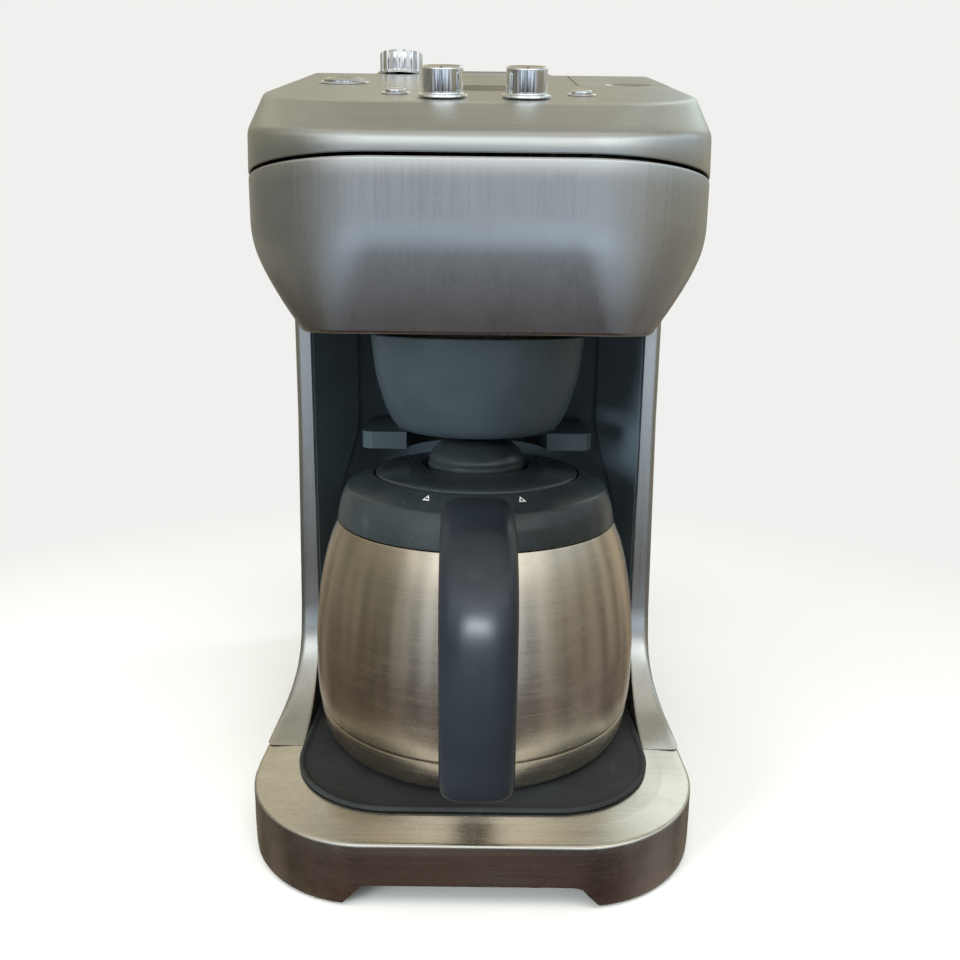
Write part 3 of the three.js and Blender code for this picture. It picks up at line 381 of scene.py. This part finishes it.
for s, sn in ((-1, "left"), (1, "right")):
    rings = []
    for t in ts:
        zr = 33.72 + t * (268 - 33.72); xo, yf, yr, r = COL_W + draft(zr), front_y(zr), COL_REAR + flare(zr), 4.0
        p = [(COL_IN + 0.4, yf + 0.05), (COL_IN + 1.0, yf), ((COL_IN + xo - r) / 2, yf), (xo - r, yf)]
        p += [(xo - r + r * math.sin(a), yf + r - r * math.cos(a)) for a in [math.pi / 16 * i for i in range(1, 9)]]
        p += [(xo, yf + 12), (xo, yr - 3), (xo - 0.3, yr - 0.6), (xo - 1, yr), (xo - 2, yr), (xo - 2, -11.8), (COL_IN, -11.8), (COL_IN, yf + 0.5)]
        ring = []
        for x, y in p:
            zt = ztop(x, y)
            ring.append((s * x, y, zr + max(0.0, (t - 0.5) / 0.5) * (zt - 268)))
        rings.append(ring)
    col = loft("column_skin_" + sn, rings, STEEL_COL, angle=35)
    for v in col.data.vertices: v.co.x = max(-0.108, min(0.108, v.co.x))
    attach(col, "housing"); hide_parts("column_side_" + sn)

a0 = math.asin((-11.4 - CY) / CAVITY_R)
def wall_edge(z):  # angle at which the raised side wall ends
    k = min(1.0, max(0.0, (196 - z) / 60)); k = k * k * (3 - 2 * k)
    return math.radians(40.5 - 12.5 * k)
def liner_ring(z, r0=CAVITY_R, r1=CAVITY_R + 2.4):
    e = wall_edge(z); p = []
    L = [a0 + (e - 0.012 - a0) * i / 12 for i in range(13)] + [e - 0.006, e, e + 0.006, e + 0.012, e + 0.02] + [e + 0.05 + (math.pi / 2 - e - 0.05) * i / 16 for i in range(17)]
    A = L + [math.pi - a for a in reversed(L[:-1])]
    for a in A:
        b = min(a, math.pi - a); k = min(1.0, max(0.0, (b - (e - 0.006)) / 0.022)); k = k * k * (3 - 2 * k)
        r = r0 - 1.8 * (1 - k)
        p.append((r * math.cos(a), max(CY + r * math.sin(a), -11.4)))
    p += [(r1 * math.cos(a), max(-11.4, CY + r1 * math.sin(a))) for a in reversed(A)]
    return [(x, y, z) for x, y in p]
liner = loft("cavity_liner_skin", [liner_ring(z) for z in [33.9, 80, 120, 132] + [136 + 5 * i for i in range(13)] + [204, 225, 248.4]], LINER, angle=30)
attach(liner, "housing"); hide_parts("cavity_liner")

# ------------------------------------------------------------------ head skirt
def low(i, z): return outline(HL_W - i, HL_FRONT + i, HL_REAR - i, HL_R - i, 14 - min(i, 3), z, 32, 12)
def wide(i, z): return outline(HEAD_W - i, HEAD_FRONT + i, REAR - i, HEAD_R - i, REAR_R - i, z, 32, 12)
gap_z = lambda d: (lambda x, y: seam(y) - 1.3 - d)
L0, L1 = low(0, HL_Z), wide(0, CREASE_LOW)
rings = [low(2.3, HL_Z + 0.6), low(1.6, HL_Z + 0.1), low(0.9, HL_Z), low(0.35, HL_Z + 0.25), lerp(low(0, HL_Z), outline(87.5, -114.8, 148.9, 38, 18, 261, 32, 12), 0.07)]
def bez(A, B, C, ts): return [[tuple((1 - t) ** 2 * a[k] + 2 * t * (1 - t) * b[k] + t * t * c[k] for k in range(3)) for a, b, c in zip(A, B, C)] for t in ts]
mids = smooth_profile([(249, 77, -112.6, 139.8, 24, 14), (261, 87.5, -114.8, 148.9, 38, 18), (275, 98, -117.1, 157.9, 53, 21), (289, 106, -119.2, 164.8, 66, 24)], 5)
mids = [outline(w_, f_, b_, rf_, rr_, z_, 32, 12) for z_, w_, f_, b_, rf_, rr_ in mids]
rings += mids[1:13]
rings += bez(mids[12], L1, wide(0, CREASE_LOW + 9), [i / 10 for i in range(1, 11)])
rings += [wide(0, 303), wide(0, lambda x, y: 0.5 * (303 + seam(y) - 3))]
rings += [wide(0, gap_z(1.4)), wide(0.08, gap_z(0.8)), wide(0.35, gap_z(0.3)), wide(0.85, gap_z(0.02)), wide(1.5, gap_z(0.1)), wide(2.0, gap_z(0.6)), wide(2.1, gap_z(3)), wide(2.1, CREASE_LOW + 0.8)]
rings += [outline(98 - 2.1, -117.1 + 2.1, 157.9 - 2.1, 53 - 2.1, 21 - 2.1, 275.4, 32, 12), outline(87.5 - 2.1, -114.8 + 2.1, 148.9 - 2.1, 38 - 2.1, 18 - 2.1, 261.4, 32, 12), low(2.1, HL_Z + 1.0)]
skirt = loft("head_skirt_steel", rings, STEEL, loop=True, angle=30)
boolean(skirt, [box("w", -95.6, 95.6, -9, 151.2, 240, 269.8)], angle=30)
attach(skirt, "housing"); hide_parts("head_skirt")

# ------------------------------------------------------------------ top cover, tank lid
NF, NR = 32, 12
def top_solid(name, i, dz):
    ys = [-20, 20, PANEL_REAR, 100]
    pz = lambda x, y: min(panel(y), TOP_Z) - dz
    W = lambda k, z: outline(HEAD_W - i - k, HEAD_FRONT + i + k, REAR - i - k, HEAD_R - i - k, REAR_R - i - k, z, NF, NR, 0, ys)
    P = lambda k, z: outline(PANEL_W - i - k, PANEL_FRONT + i + k, REAR - 9.5 - i - k, PANEL_R - i - k, 18 - min(k, 6), z, NF, NR, 0, ys)
    c = lambda d: (lambda x, y: crease(y) - dz * 0.4 + d)
    if dz:
        rs = [W(0, 290), W(0, c(0)), P(0, pz)]
    else:
        A, B = W(0.55, c(0)), P(0, pz)
        rs = [W(1.2, lambda x, y: seam(y) + 0.1), W(0.5, lambda x, y: seam(y)), W(0.12, lambda x, y: seam(y) + 0.3), W(0, lambda x, y: seam(y) + 1.0), W(0.38, c(-2.6))]
        rs += bez(W(0.38, c(-2.6)), A, lerp(A, B, 0.10), [0.25, 0.5, 0.75, 1.0])
        rs += [lerp(A, B, t) for t in (0.3, 0.55, 0.80, 0.90)]
        Q = P(3.2, pz)
        e = lerp(A, B, 0.90)
        rs += [[tuple((1 - t) ** 2 * a[k] + 2 * t * (1 - t) * b[k] + t * t * q[k] for k in range(3)) for a, b, q in zip(e, B, Q)] for t in (0.2, 0.4, 0.6, 0.8, 1.0)]
        rs += [P(6, pz)]
    n = len(rs[0]); r_i = NF + 1 + 2; l_i = n - (NF + 1) - 3
    return loft(name, rs, STEEL_TOP, split=(r_i, l_i), angle=20)
TX0, TX1, TY0, AXY, AXZ = 50, 96, -8, 116.5, TOP_Z - 2.1
def lid_plan(g, y1): return loft("p", [outline((TX1 - TX0) / 2 + g, TY0 - g, y1, 6, 3, z, 8, 5, (TX0 + TX1) / 2) for z in (290, 420)])
def hop_plan(g, z0, z1): return loft("h", [outline(42 + g, 90 - g, 149 + g, 14 + g, 14 + g, z, 10, 10, 4) for z in (z0, z1)])
def rodx(r, x0, x1, y, z, segs=32, name="r"):
    V = [(x, y + r * math.cos(2 * math.pi * i / segs), z + r * math.sin(2 * math.pi * i / segs)) for x in (x0, x1) for i in range(segs)]
    return mesh(name, V, [tuple(range(segs)), tuple(range(segs, 2 * segs))[::-1]] + [(i, (i + 1) % segs, segs + (i + 1) % segs, segs + i) for i in range(segs)])
def disc(r, z0, z1, segs=64): return lathe("c", [(0, z0), (r, z0), (r, z1), (0, z1)], None, segs)
cover = top_solid("top_cover_steel", 0, 0)
boolean(cover, [top_solid("i", 2.2, 2.6)], angle=20)
lid = cover.copy(); lid.data = cover.data.copy(); bpy.context.scene.collection.objects.link(lid); lid.name = "tank_lid_steel"
boolean(lid, [lid_plan(0, AXY - 1)], "INTERSECT", angle=20)
boolean(lid, [rodx(2.6, 53, 93, AXY, AXZ)], "UNION", angle=24)
rec = lathe("rec", [(0, -1.6), (7.2, -1.6), (9.5, -1.35), (13.3, 0.4), (14.2, 0.1), (14.2, 3), (0, 3)], None, 72)
rec.data.transform(Matrix.Diagonal((1.0, 0.80, 1.0, 1.0))); on_panel(rec, 77, 2, 0)
boolean(lid, [rodx(1.45, 45, 100, AXY, AXZ), rec], angle=24)
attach(lid, "tank_lid"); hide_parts("tank_lid")
DIALS, BTNS, START, GRIND = [(-16.3, -73), (20.3, -73)], [(-38.5, -58), (46, -58)], (-70, -3), (-47.6, 75)
cut = [lid_plan(0.6, AXY + 3.4), hop_plan(0.8, 370, 400)]
cut += [on_panel(disc(3.5, -12, 6, 24), x, y) for x, y in DIALS] + [on_panel(disc(5.25, -12, 6, 48), x, y) for x, y in BTNS]
cut += [on_panel(disc(10.95, -12, 6, 64), *START), on_panel(box("b", -26.3, 26.3, -16.3, 16.3, -12, 6), 2, -26)]
g = disc(4.4, 370, 400, 32); g.data.transform(Matrix.Translation((GRIND[0] * MM, GRIND[1] * MM, 0))); cut.append(g)
boolean(cover, cut, angle=20)
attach(cover, "housing"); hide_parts("top_cover")

# ------------------------------------------------------------------ hopper lid
def hl(g, z): return outline(42 - g, 90 + g, 149 - g, 14 - g, 14 - g, z, 14, 14, 4)
hop = loft("hopper_lid_steel", [hl(4, 385), hl(3.9, 390.4), hl(-1.6, 390.9), hl(-2, 391.3), hl(-2, 394.6), hl(-1.7, 396.2), hl(-0.7, 397.7), hl(1.2, 398.9), hl(4, 399.6), hl(8, 399.88), hl(13.2, 399.9)], STEEL_TOP, angle=30)
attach(hop, "hopper_lid"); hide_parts("hopper_lid")

# ------------------------------------------------------------------ dials and buttons
for i, (x, y) in enumerate(DIALS):
    d = lathe("dial_chrome_" + ("left", "right")[i], [(0, -11), (3, -11), (3, 0.35), (10.4, 0.35), (10.9, 0.6), (11, 1.0), (10.8, 1.45), (10.2, 1.75), (9.3, 1.85), (9.05, 2.3), (9, 3), (9, 11.3), (8.85, 11.9), (8.5, 12.3), (8, 12.5), (6, 12.42), (0, 12.4)], None, 96, angle=35)
    boolean(d, [box("n", -0.55, 0.55, -12, -5.2, 12.05, 14)], angle=35)
    d.data.materials.append(CHROME)
    on_panel(d, x, y); n = ("dial_left", "dial_right")[i]
    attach(d, n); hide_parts(n)
for i, (x, y) in enumerate(BTNS):
    n = ("button_left", "button_right")[i]
    b = lathe(n + "_chrome", [(0, -7), (1.6, -7), (1.6, -3.2), (4.8, -3.2), (4.8, 1.3), (4.7, 1.8), (4.35, 2.15), (3.6, 2.35), (0, 2.5)], CHROME, 64, angle=35)
    on_panel(b, x, y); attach(b, n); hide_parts(n)
    rg = lathe(n + "_bezel", [(5.3, -0.4), (6.4, 0.05), (6.6, 0.35), (6.2, 0.75), (5.7, 0.8), (5.35, 0.5)], CHROME, 64, loop=True, angle=60)
    on_panel(rg, x, y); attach(rg, "housing")
b = lathe("start_button_chrome", [(0, -8), (2, -8), (2, -3.4), (10.5, -3.4), (10.5, 1.2), (10.3, 1.9), (9.7, 2.3), (8.8, 2.35), (8.2, 2.0), (7.2, 1.9), (0, 2.5)], CHROME, 96, angle=35)
on_panel(b, *START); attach(b, "start_button"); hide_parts("start_button")
rg = lathe("start_bezel", [(11.0, -0.4), (12.7, 0.02), (13.0, 0.4), (12.5, 0.95), (11.7, 1.05), (11.1, 0.7)], CHROME, 96, loop=True, angle=60)
on_panel(rg, *START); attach(rg, "housing")
# grind dial
V, F = [], []
def flute(r, depth, z, n=22, k=12):
    out = []
    for i in range(n * k):
        a = 2 * math.pi * i / (n * k); f = (i % k) / k
        u = 0.5 - 0.5 * math.cos(2 * math.pi * f)
        q = r - depth * (1 - u ** 0.45)
        out.append((GRIND[0] + q * math.cos(a), GRIND[1] + q * math.sin(a), z))
    return out
T = TOP_Z
gd = loft("grind_dial_fluted", [flute(11.4, 0.2, T + 2.7), flute(12.2, 0.8, T + 2.9), flute(12.5, 1.3, T + 3.6), flute(12.5, 1.4, T + 11.4), flute(12.3, 1.2, T + 12.4), flute(11.7, 0.7, T + 13.1), flute(10.9, 0.1, T + 13.4), flute(9.6, 0, T + 13.9), flute(8.4, 0, T + 13.7)], CHROME, angle=40)
gb = lathe("grind_dial_ring", [(4, T - 15), (4, T + 0.5), (14.3, T + 0.5), (14.8, T + 0.75), (15, T + 1.2), (14.7, T + 1.8), (13.6, T + 2.2), (11.5, T + 2.6), (0, T + 2.6), (0, T - 15)], CHROME, 96, GRIND[0], GRIND[1], loop=False, angle=40)
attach(gd, "grind_dial"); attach(gb, "grind_dial")

# ------------------------------------------------------------------ brew basket
bk = smooth_profile([(8.4, 196.9), (22, 196.9), (36.4, 197.8), (42.2, 201.0), (46.2, 208), (49.3, 217), (51.6, 226), (53.0, 236), (53.8, 243)], 6)
bk = [(6.4, 194.9), (6.8, 194.6), (8.1, 194.6), (8.4, 195)] + bk + [(53.95, 244.6), (54, 245.5), (53.6, 246), (52.4, 246), (52, 245.4), (51.6, 240), (49.5, 226.5), (44.4, 209.5), (40.4, 203.4), (35, 200.4), (12, 199.2), (3.2, 199.2), (3.2, 198.4), (6.4, 198.4)]
bas = lathe("brew_basket_bowl", bk, BASKET, 144, CX, CY, loop=True, angle=32)
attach(bas, "brew_basket"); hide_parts("brew_basket")

# ------------------------------------------------------------------ carafe
cup = [(0, 37.2), (70, 37.2), (70.6, 36.5), (71.4, 36.3), (76.4, 36.3)] + smooth_profile([(77.6, 36.7), (79.6, 38.6), (81.6, 43.6), (82.8, 48.6), (83.35, 52.3)], 5) + [(83.3, 52.75), (82.9, 53), (81.6, 53), (79.8, 45), (77.4, 39.6), (0, 39.6)]
o = lathe("carafe_base_cup_steel", cup, STEEL_CARAFE, 160, CX, CY, angle=32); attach(o, "carafe"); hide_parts("carafe_base_cup")
bp = smooth_profile([(83.6, 54.2), (84.5, 61), (84.95, 70), (85, 80), (84.85, 90), (84.0, 101), (82.75, 112), (81.0, 123), (78.6, 134), (75.8, 143.4), (72.9, 151)], 5)
bp = [(82.2, 53.4), (83.0, 53.45), (83.4, 53.7)] + bp + [(72.6, 151.6), (72.0, 151.8), (71.2, 151.8), (77, 133.6), (81.2, 111.6), (83.3, 88), (83.3, 68)]
o = lathe("carafe_body_steel", bp, STEEL_CARAFE, 160, CX, CY, loop=True, angle=32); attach(o, "carafe"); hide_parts("carafe_body")
cp = [(71.4, 152.2), (72.2, 152.2), (72.45, 152.6)] + smooth_profile([(72.35, 154), (71.6, 158), (70.6, 162), (69.2, 165.6), (68.3, 167.5)], 4) + [(67.9, 168.3), (67.2, 168.95), (66.2, 169.5), (60, 172.5), (55.2, 174.8), (54.3, 175.1), (53.6, 175.0), (53.2, 174.4), (53, 173.4), (53, 166), (47.8, 163), (47.8, 158.3), (49.4, 158.3), (62, 163), (70.6, 153)]
o = lathe("carafe_collar_shell", cp, COLLAR, 160, CX, CY, loop=True, angle=32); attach(o, "carafe"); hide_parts("carafe_collar")
lp = [(27.2, 166), (45.6, 160), (47.4, 163.4), (52.6, 166.4), (52.6, 174.6), (52.4, 175.4), (51.8, 176.0), (50.8, 176.45), (44, 177.3), (36, 178.2), (29.6, 178.9), (28.4, 178.9), (27.4, 178.4), (26.6, 177.2), (26.3, 175.5), (26.2, 170), (14, 168.6), (14, 166.6)]
o = lathe("carafe_lid_shell", lp, COLLAR, 160, CX, CY, loop=True, angle=32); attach(o, "carafe_lid"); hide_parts("carafe_lid")
bp = [(0, 160), (4, 160), (4, 172.6), (24.4, 173.4), (25.3, 175), (25.3, 179.9), (25.15, 180.6), (24.7, 181.0), (24.5, 181.3), (24.7, 181.7), (24.75, 182.4)] + smooth_profile([(24.5, 183.4), (23.2, 185.6), (21.3, 187.9), (19.0, 190.2), (16.8, 191.5), (14, 192.2)], 4) + [(9.6, 192.5), (8.8, 192.3), (7.4, 191.6), (4, 191.3), (0, 191.2)]
o = lathe("lid_button_shell", bp, COLLAR, 128, CX, CY, angle=32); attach(o, "lid_button"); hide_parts("lid_button")

path = [(-94, 166.5, 15), (-106, 168.5, 18), (-120, 167.2, 20), (-134, 162.5, 21.5), (-146, 153.5, 22.4), (-152.6, 140.5, 22.6), (-154, 124, 21.6), (-154, 104, 21), (-153.4, 86, 20.6), (-152.2, 72, 20), (-151.2, 65.5, 18.6)]
fine = smooth_profile(path, 5)
half = lambda i, m: 16.4 - 0.5 * (i / m)
rings = []
def section(y, z, t, ny, nz, h, r, k=44):
    pts = []
    for i in range(k):  # superellipse: soft corners, slightly crowned faces
        g = 2 * math.pi * (i + 0.5) / k; c, n = math.cos(g), math.sin(g)
        X = h * math.copysign(abs(c) ** 0.62, c); Tt = t / 2 * math.copysign(abs(n) ** 0.66, n)
        pts.append((X, y + Tt * ny, z + Tt * nz))
    return pts
m = len(fine) - 1
for i, (y, z, t) in enumerate(fine):
    a, b = fine[max(0, i - 1)], fine[min(m, i + 1)]
    dy, dz = b[0] - a[0], b[1] - a[1]; l = math.hypot(dy, dz)
    rings.append(section(y, z, t, -dz / l, dy / l, half(i, m), min(7.2, t * 0.38)))
ly, lz, lt = fine[-1]; ny, nz = -(fine[-1][1] - fine[-2][1]), fine[-1][0] - fine[-2][0]; l = math.hypot(ny, nz); ny, nz = ny / l, nz / l
dy, dz = nz, -ny
for k in range(1, 8):
    a = math.pi / 2 * k / 8; q = 6.0
    rings.append(section(ly + dy * q * math.sin(a), lz + dz * q * math.sin(a), lt - 2 * q * (1 - math.cos(a)), ny, nz, half(m, m) - q * (1 - math.cos(a)), max(1.2, 7.0 - 0.62 * q * (1 - math.cos(a)))))
hd = loft("carafe_handle_grip", rings, HANDLE, angle=50)
hd.data.transform(Matrix.Translation((0, CY * MM, 0)) @ Matrix.Rotation(math.radians(1), 4, "Z") @ Matrix.Translation((0, -CY * MM, 0)))
keep = lathe("k", [(0, 40), (84, 40), (85.4, 84), (83.4, 111), (77.2, 140.6), (73, 152), (72.0, 157.5), (71.0, 162), (69.6, 165.8), (68.1, 168.8), (54, 175.6), (0, 175.6)], None, 96, CX, CY)
boolean(hd, [keep], angle=50)
if not hd.data.materials: hd.data.materials.append(HANDLE)
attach(hd, "carafe"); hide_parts("carafe_handle")

# two small plain triangle marks on the collar
MARK = plastic("mark_paint", (0.55, 0.56, 0.55), 0.5, dust=0.0)
def on_collar(ang, rad):  # a point on the collar's sloped top
    z = 168.95 + (67.2 - rad) * (174.8 - 168.95) / (67.2 - 55.2) + 0.06
    return (CX + rad * math.sin(ang), CY - rad * math.cos(ang), z)
for nme, a in (("mark_left", math.radians(-22.5)), ("mark_right", math.radians(21.3))):
    P = [on_collar(a - 0.030, 60.4), on_collar(a + 0.030, 60.4), on_collar(a, 56.9)]
    P2 = [on_collar(a - 0.017, 59.75), on_collar(a + 0.017, 59.75), on_collar(a, 58.0)]
    V = [(x, y, z) for x, y, z in P + P2] + [(x, y, z - 0.12) for x, y, z in P + P2]
    F = []
    for i in range(3):
        j = (i + 1) % 3
        F += [(i, j, 3 + j, 3 + i), (6 + i, 9 + i, 9 + j, 6 + j), (i, 6 + i, 6 + j, j), (3 + i, 3 + j, 9 + j, 9 + i)]
    t = mesh(nme, V, F, MARK, smooth=False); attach(t, "carafe")

# ------------------------------------------------------------------ CAD nodes that stay, with their own finish
KEEP = {"bottom_plate": BLACK, "back_panel": BLACK, "cord_gland": RUBBER, "level_window": CLEAR, "head_underside": BLACK, "tank_lid_pin": ZINC,
        "lcd_window": WINDOW, "display_module": BOARD, "control_board": BOARD, "bean_hopper": CLEAR, "grinder_housing": BASKET, "grinder_motor": ZINC,
        "grounds_chute": BLACK, "water_tank": CLEAR, "flow_heater": ZINC, "feed_hose": RUBBER, "riser_hose": RUBBER, "shower_head": WHITE, "basket_cradle": BASKET,
        "mesh_filter": MESHM, "drip_stop_spring": ZINC, "drip_stop_valve": RUBBER, "grind_dial": CHROME, "outer_burr_ring": BRASS, "drive_gear": WHITE,
        "inner_burr": ZINC, "motor_pinion": BRASS, "carafe_flask": STEEL_CARAFE}
for a in ("front", "rear"):
    for b in ("left", "right"): KEEP[f"foot_{a}_{b}"] = RUBBER; KEEP[f"base_screw_{a}_{b}"] = ZINC
for n, m in KEEP.items():
    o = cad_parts[n]
    o.data.materials.clear(); o.data.materials.append(m)
    o.data.polygons.foreach_set("use_smooth", [True] * len(o.data.polygons)); o.data.set_sharp_from_angle(angle=math.radians(32))
for n, w in (("back_panel", 0.5), ("bottom_plate", 0.4), ("level_window", 0.5), ("cord_gland", 0.8), ("basket_cradle", 0.9), ("head_underside", 0.4)):
    bevel(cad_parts[n], w, 2, 50)

# ------------------------------------------------------------------ floor and light
fl = mesh("floor", [(-6000, -6000, -0.05), (6000, -6000, -0.05), (6000, 6000, -0.05), (-6000, 6000, -0.05)], [(0, 1, 2, 3)], None, smooth=False)
s = N("pale_floor")
s.link(s.mix(s.range(s.noise(3, 2.0), 0.4, 0.6, 0, 1), (0.76, 0.76, 0.75), (0.78, 0.78, 0.77)), s.p.inputs["Base Color"])
s.p.inputs["Roughness"].default_value = 0.9; s.p.inputs["Specular IOR Level"].default_value = 0.0
ln = s.new("ShaderNodeVectorMath", _operation="LENGTH"); s.link(s.tc.outputs["Object"], ln.inputs[0])
far = s.range(ln.outputs["Value"], 0.20, 0.62, 0.0, 1.0)  # the sweep runs into the plain backdrop
em = s.new("ShaderNodeEmission"); em.inputs[0].default_value = (0.871, 0.871, 0.855, 1)
ms = s.new("ShaderNodeMixShader"); s.link(far, ms.inputs[0]); s.link(s.p.outputs[0], ms.inputs[1]); s.link(em.outputs[0], ms.inputs[2])
s.link(ms.outputs[0], s.t.nodes["Material Output"].inputs[0])
fl.data.materials.append(s.m)
fl.visible_glossy = False

w = bpy.data.worlds.new("studio"); bpy.context.scene.world = w; w.use_nodes = True
t = w.node_tree; t.nodes.clear()
def wn(kind, **kw):
    n = t.nodes.new(kind)
    for k, v in kw.items():
        if k.startswith("_"): setattr(n, k[1:], v)
        else: n.inputs[k].default_value = v
    return n
tc = wn("ShaderNodeTexCoord"); sep = wn("ShaderNodeSeparateXYZ"); t.links.new(tc.outputs["Generated"], sep.inputs[0])
def wmap(v, a, b, c=0.0, d=1.0, smooth=True):
    r = wn("ShaderNodeMapRange"); r.clamp = True; r.interpolation_type = "SMOOTHSTEP" if smooth else "LINEAR"
    for k, x in zip(("From Min", "From Max", "To Min", "To Max"), (a, b, c, d)): r.inputs[k].default_value = x
    t.links.new(v, r.inputs["Value"]); return r.outputs["Result"]
def wmix(f, a, b):
    n = wn("ShaderNodeMix", _data_type="RGBA")
    for sock, v in ((n.inputs[0], f), (n.inputs[6], a), (n.inputs[7], b)):
        if isinstance(v, tuple): sock.default_value = (*v, 1)
        elif isinstance(v, (int, float)): sock.default_value = v
        else: t.links.new(v, sock)
    return n.outputs[2]
X, Y, Z = sep.outputs[0], sep.outputs[1], sep.outputs[2]
def wramp(fac, stops):
    r = wn("ShaderNodeValToRGB"); e = r.color_ramp.elements; r.color_ramp.interpolation = "LINEAR"
    while len(e) < len(stops): e.new(0.5)
    for el, (pos, col) in zip(e, stops): el.position = (pos + 1) / 2; el.color = (*col, 1)
    t.links.new(fac, r.inputs["Fac"]); return r.outputs["Color"]
z01 = wmap(Z, -1, 1, 0, 1, False)
front = wramp(z01, [(-1, (.07, .045, .036)), (-.58, (.055, .034, .028)), (-.44, (.075, .058, .053)), (-.34, (.100, .094, .096)), (-.26, (.16, .16, .165)), (-.12, (.46, .54, .62)), (-.02, (.62, .72, .82)), (.05, (.46, .52, .58)), (.12, (.33, .35, .37)), (.20, (.44, .49, .53)), (.27, (.98, 1.0, 1.0)), (.46, (.92, 1.0, 1.0)), (.62, (.50, .50, .47)), (1, (.42, .40, .35))])
gain = wmap(Z, 0.20, 0.30, 1.0, 1.6)
fs = wn("ShaderNodeVectorMath", _operation="SCALE"); t.links.new(front, fs.inputs[0]); t.links.new(gain, fs.inputs["Scale"]); front = fs.outputs[0]
back = wramp(z01, [(-1, (.10, .08, .06)), (-.3, (.20, .17, .13)), (.0, (.40, .36, .27)), (.35, (.41, .375, .27)), (.52, (.60, .56, .44)), (.8, (.48, .45, .36)), (1, (.42, .40, .35))])
left = wramp(z01, [(-1, (.26, .23, .17)), (-.80, (.26, .23, .17)), (-.62, (.060, .046, .038)), (-.35, (.08, .065, .055)), (-.1, (.20, .19, .155)), (.1, (.17, .17, .14)), (.35, (.34, .32, .25)), (1, (.42, .40, .35))])
right = wramp(z01, [(-1, (.27, .25, .20)), (-.80, (.27, .25, .20)), (-.62, (.11, .092, .098)), (-.35, (.13, .115, .11)), (-.1, (.27, .25, .20)), (.1, (.34, .32, .25)), (.3, (.62, .70, .75)), (.5, (.75, .90, .95)), (.68, (.48, .46, .38)), (1, (.42, .40, .35))])
up = wmix(wmap(Y, -0.30, 0.30), front, back)
up = wmix(wmap(X, -0.45, -0.95), up, left)
up = wmix(wmap(X, 0.50, 0.95), up, right)
# upright shapes of a room: darker and lighter bands by compass direction
mp = wn("ShaderNodeMapping"); mp.inputs["Scale"].default_value = (7.5, 7.5, 0.5); t.links.new(tc.outputs["Generated"], mp.inputs["Vector"])
nz = wn("ShaderNodeTexNoise", Scale=1.0, Detail=4.0, Roughness=0.62); t.links.new(mp.outputs["Vector"], nz.inputs["Vector"])
hi = wmap(nz.outputs["Fac"], 0.38, 0.62, 0.72, 1.22); lo = wmap(nz.outputs["Fac"], 0.40, 0.60, 0.40, 1.75)
bm_ = wn("ShaderNodeMix", _data_type="FLOAT"); t.links.new(wmap(Z, 0.02, -0.14), bm_.inputs[0]); t.links.new(hi, bm_.inputs[2]); t.links.new(lo, bm_.inputs[3])
bands = bm_.outputs[0]
vm = wn("ShaderNodeVectorMath", _operation="SCALE"); t.links.new(up, vm.inputs[0]); t.links.new(bands, vm.inputs["Scale"])
# a bright window behind and to the right
dt = wn("ShaderNodeVectorMath", _operation="DOT_PRODUCT"); t.links.new(tc.outputs["Generated"], dt.inputs[0]); dt.inputs[1].default_value = Vector((0.40, 0.74, 0.54)).normalized()
lamp = wmap(dt.outputs["Value"], 0.950, 0.988, 0.0, 1.0)
lv = wn("ShaderNodeVectorMath", _operation="SCALE"); lv.inputs[0].default_value = (0.56, 0.72, 0.80); t.links.new(lamp, lv.inputs["Scale"])
ad = wn("ShaderNodeVectorMath", _operation="ADD"); t.links.new(vm.outputs[0], ad.inputs[0]); t.links.new(lv.outputs[0], ad.inputs[1])
env = ad.outputs[0]
bg_env = wn("ShaderNodeBackground", Strength=1.0); t.links.new(env, bg_env.inputs[0])
bg_cam = wn("ShaderNodeBackground", Strength=1.0); bg_cam.inputs[0].default_value = (0.871, 0.871, 0.855, 1)
lp = wn("ShaderNodeLightPath"); mx = wn("ShaderNodeMixShader"); out = wn("ShaderNodeOutputWorld")
t.links.new(lp.outputs["Is Camera Ray"], mx.inputs[0]); t.links.new(bg_env.outputs[0], mx.inputs[1]); t.links.new(bg_cam.outputs[0], mx.inputs[2]); t.links.new(mx.outputs[0], out.inputs[0])

def area(name, loc, target, size, power, color=(1, 1, 1), glossy=True):
    l = bpy.data.lights.new(name, "AREA"); l.shape = "RECTANGLE"; l.size, l.size_y = size; l.energy = power; l.color = color
    o = bpy.data.objects.new(name, l); bpy.context.scene.collection.objects.link(o)
    o.location = loc; o.rotation_euler = (Vector(target) - Vector(loc)).to_track_quat("-Z", "Y").to_euler()
    o.visible_glossy = glossy
    return o
area("key_top", (0.3, -0.9, 1.9), (0, 0, 0.15), (1.6, 1.2), 26, (1, 0.985, 0.96), False)
area("fill_left", (-1.6, -0.7, 0.9), (0, 0, 0.2), (0.8, 1.4), 9, (1.0, 0.97, 0.92), False)
area("rim_right", (1.5, 0.5, 1.0), (0, 0, 0.2), (0.5, 1.3), 8, (0.86, 0.93, 1.0), False)
area("back_fill", (0.0, 2.0, 1.4), (0, 0, 0.2), (1.8, 1.0), 12, (1, 1, 1), False)
area("front_fill", (-0.95, -1.05, 0.30), (0.07, 0, 0.16), (0.5, 0.5), 26, (0.90, 0.97, 1.0), False)
sp = area("low_spark", (0.004, -0.330, 0.132), (0.002, -0.165, 0.150), (0.030, 0.045), 0.20, (0.86, 0.96, 1.0), True)
sp.visible_camera = False
only = bpy.data.collections.new("handle_highlight"); only.objects.link(hd); sp.light_linking.receiver_collection = only


bpy.context.scene.view_settings.view_transform = "Standard"
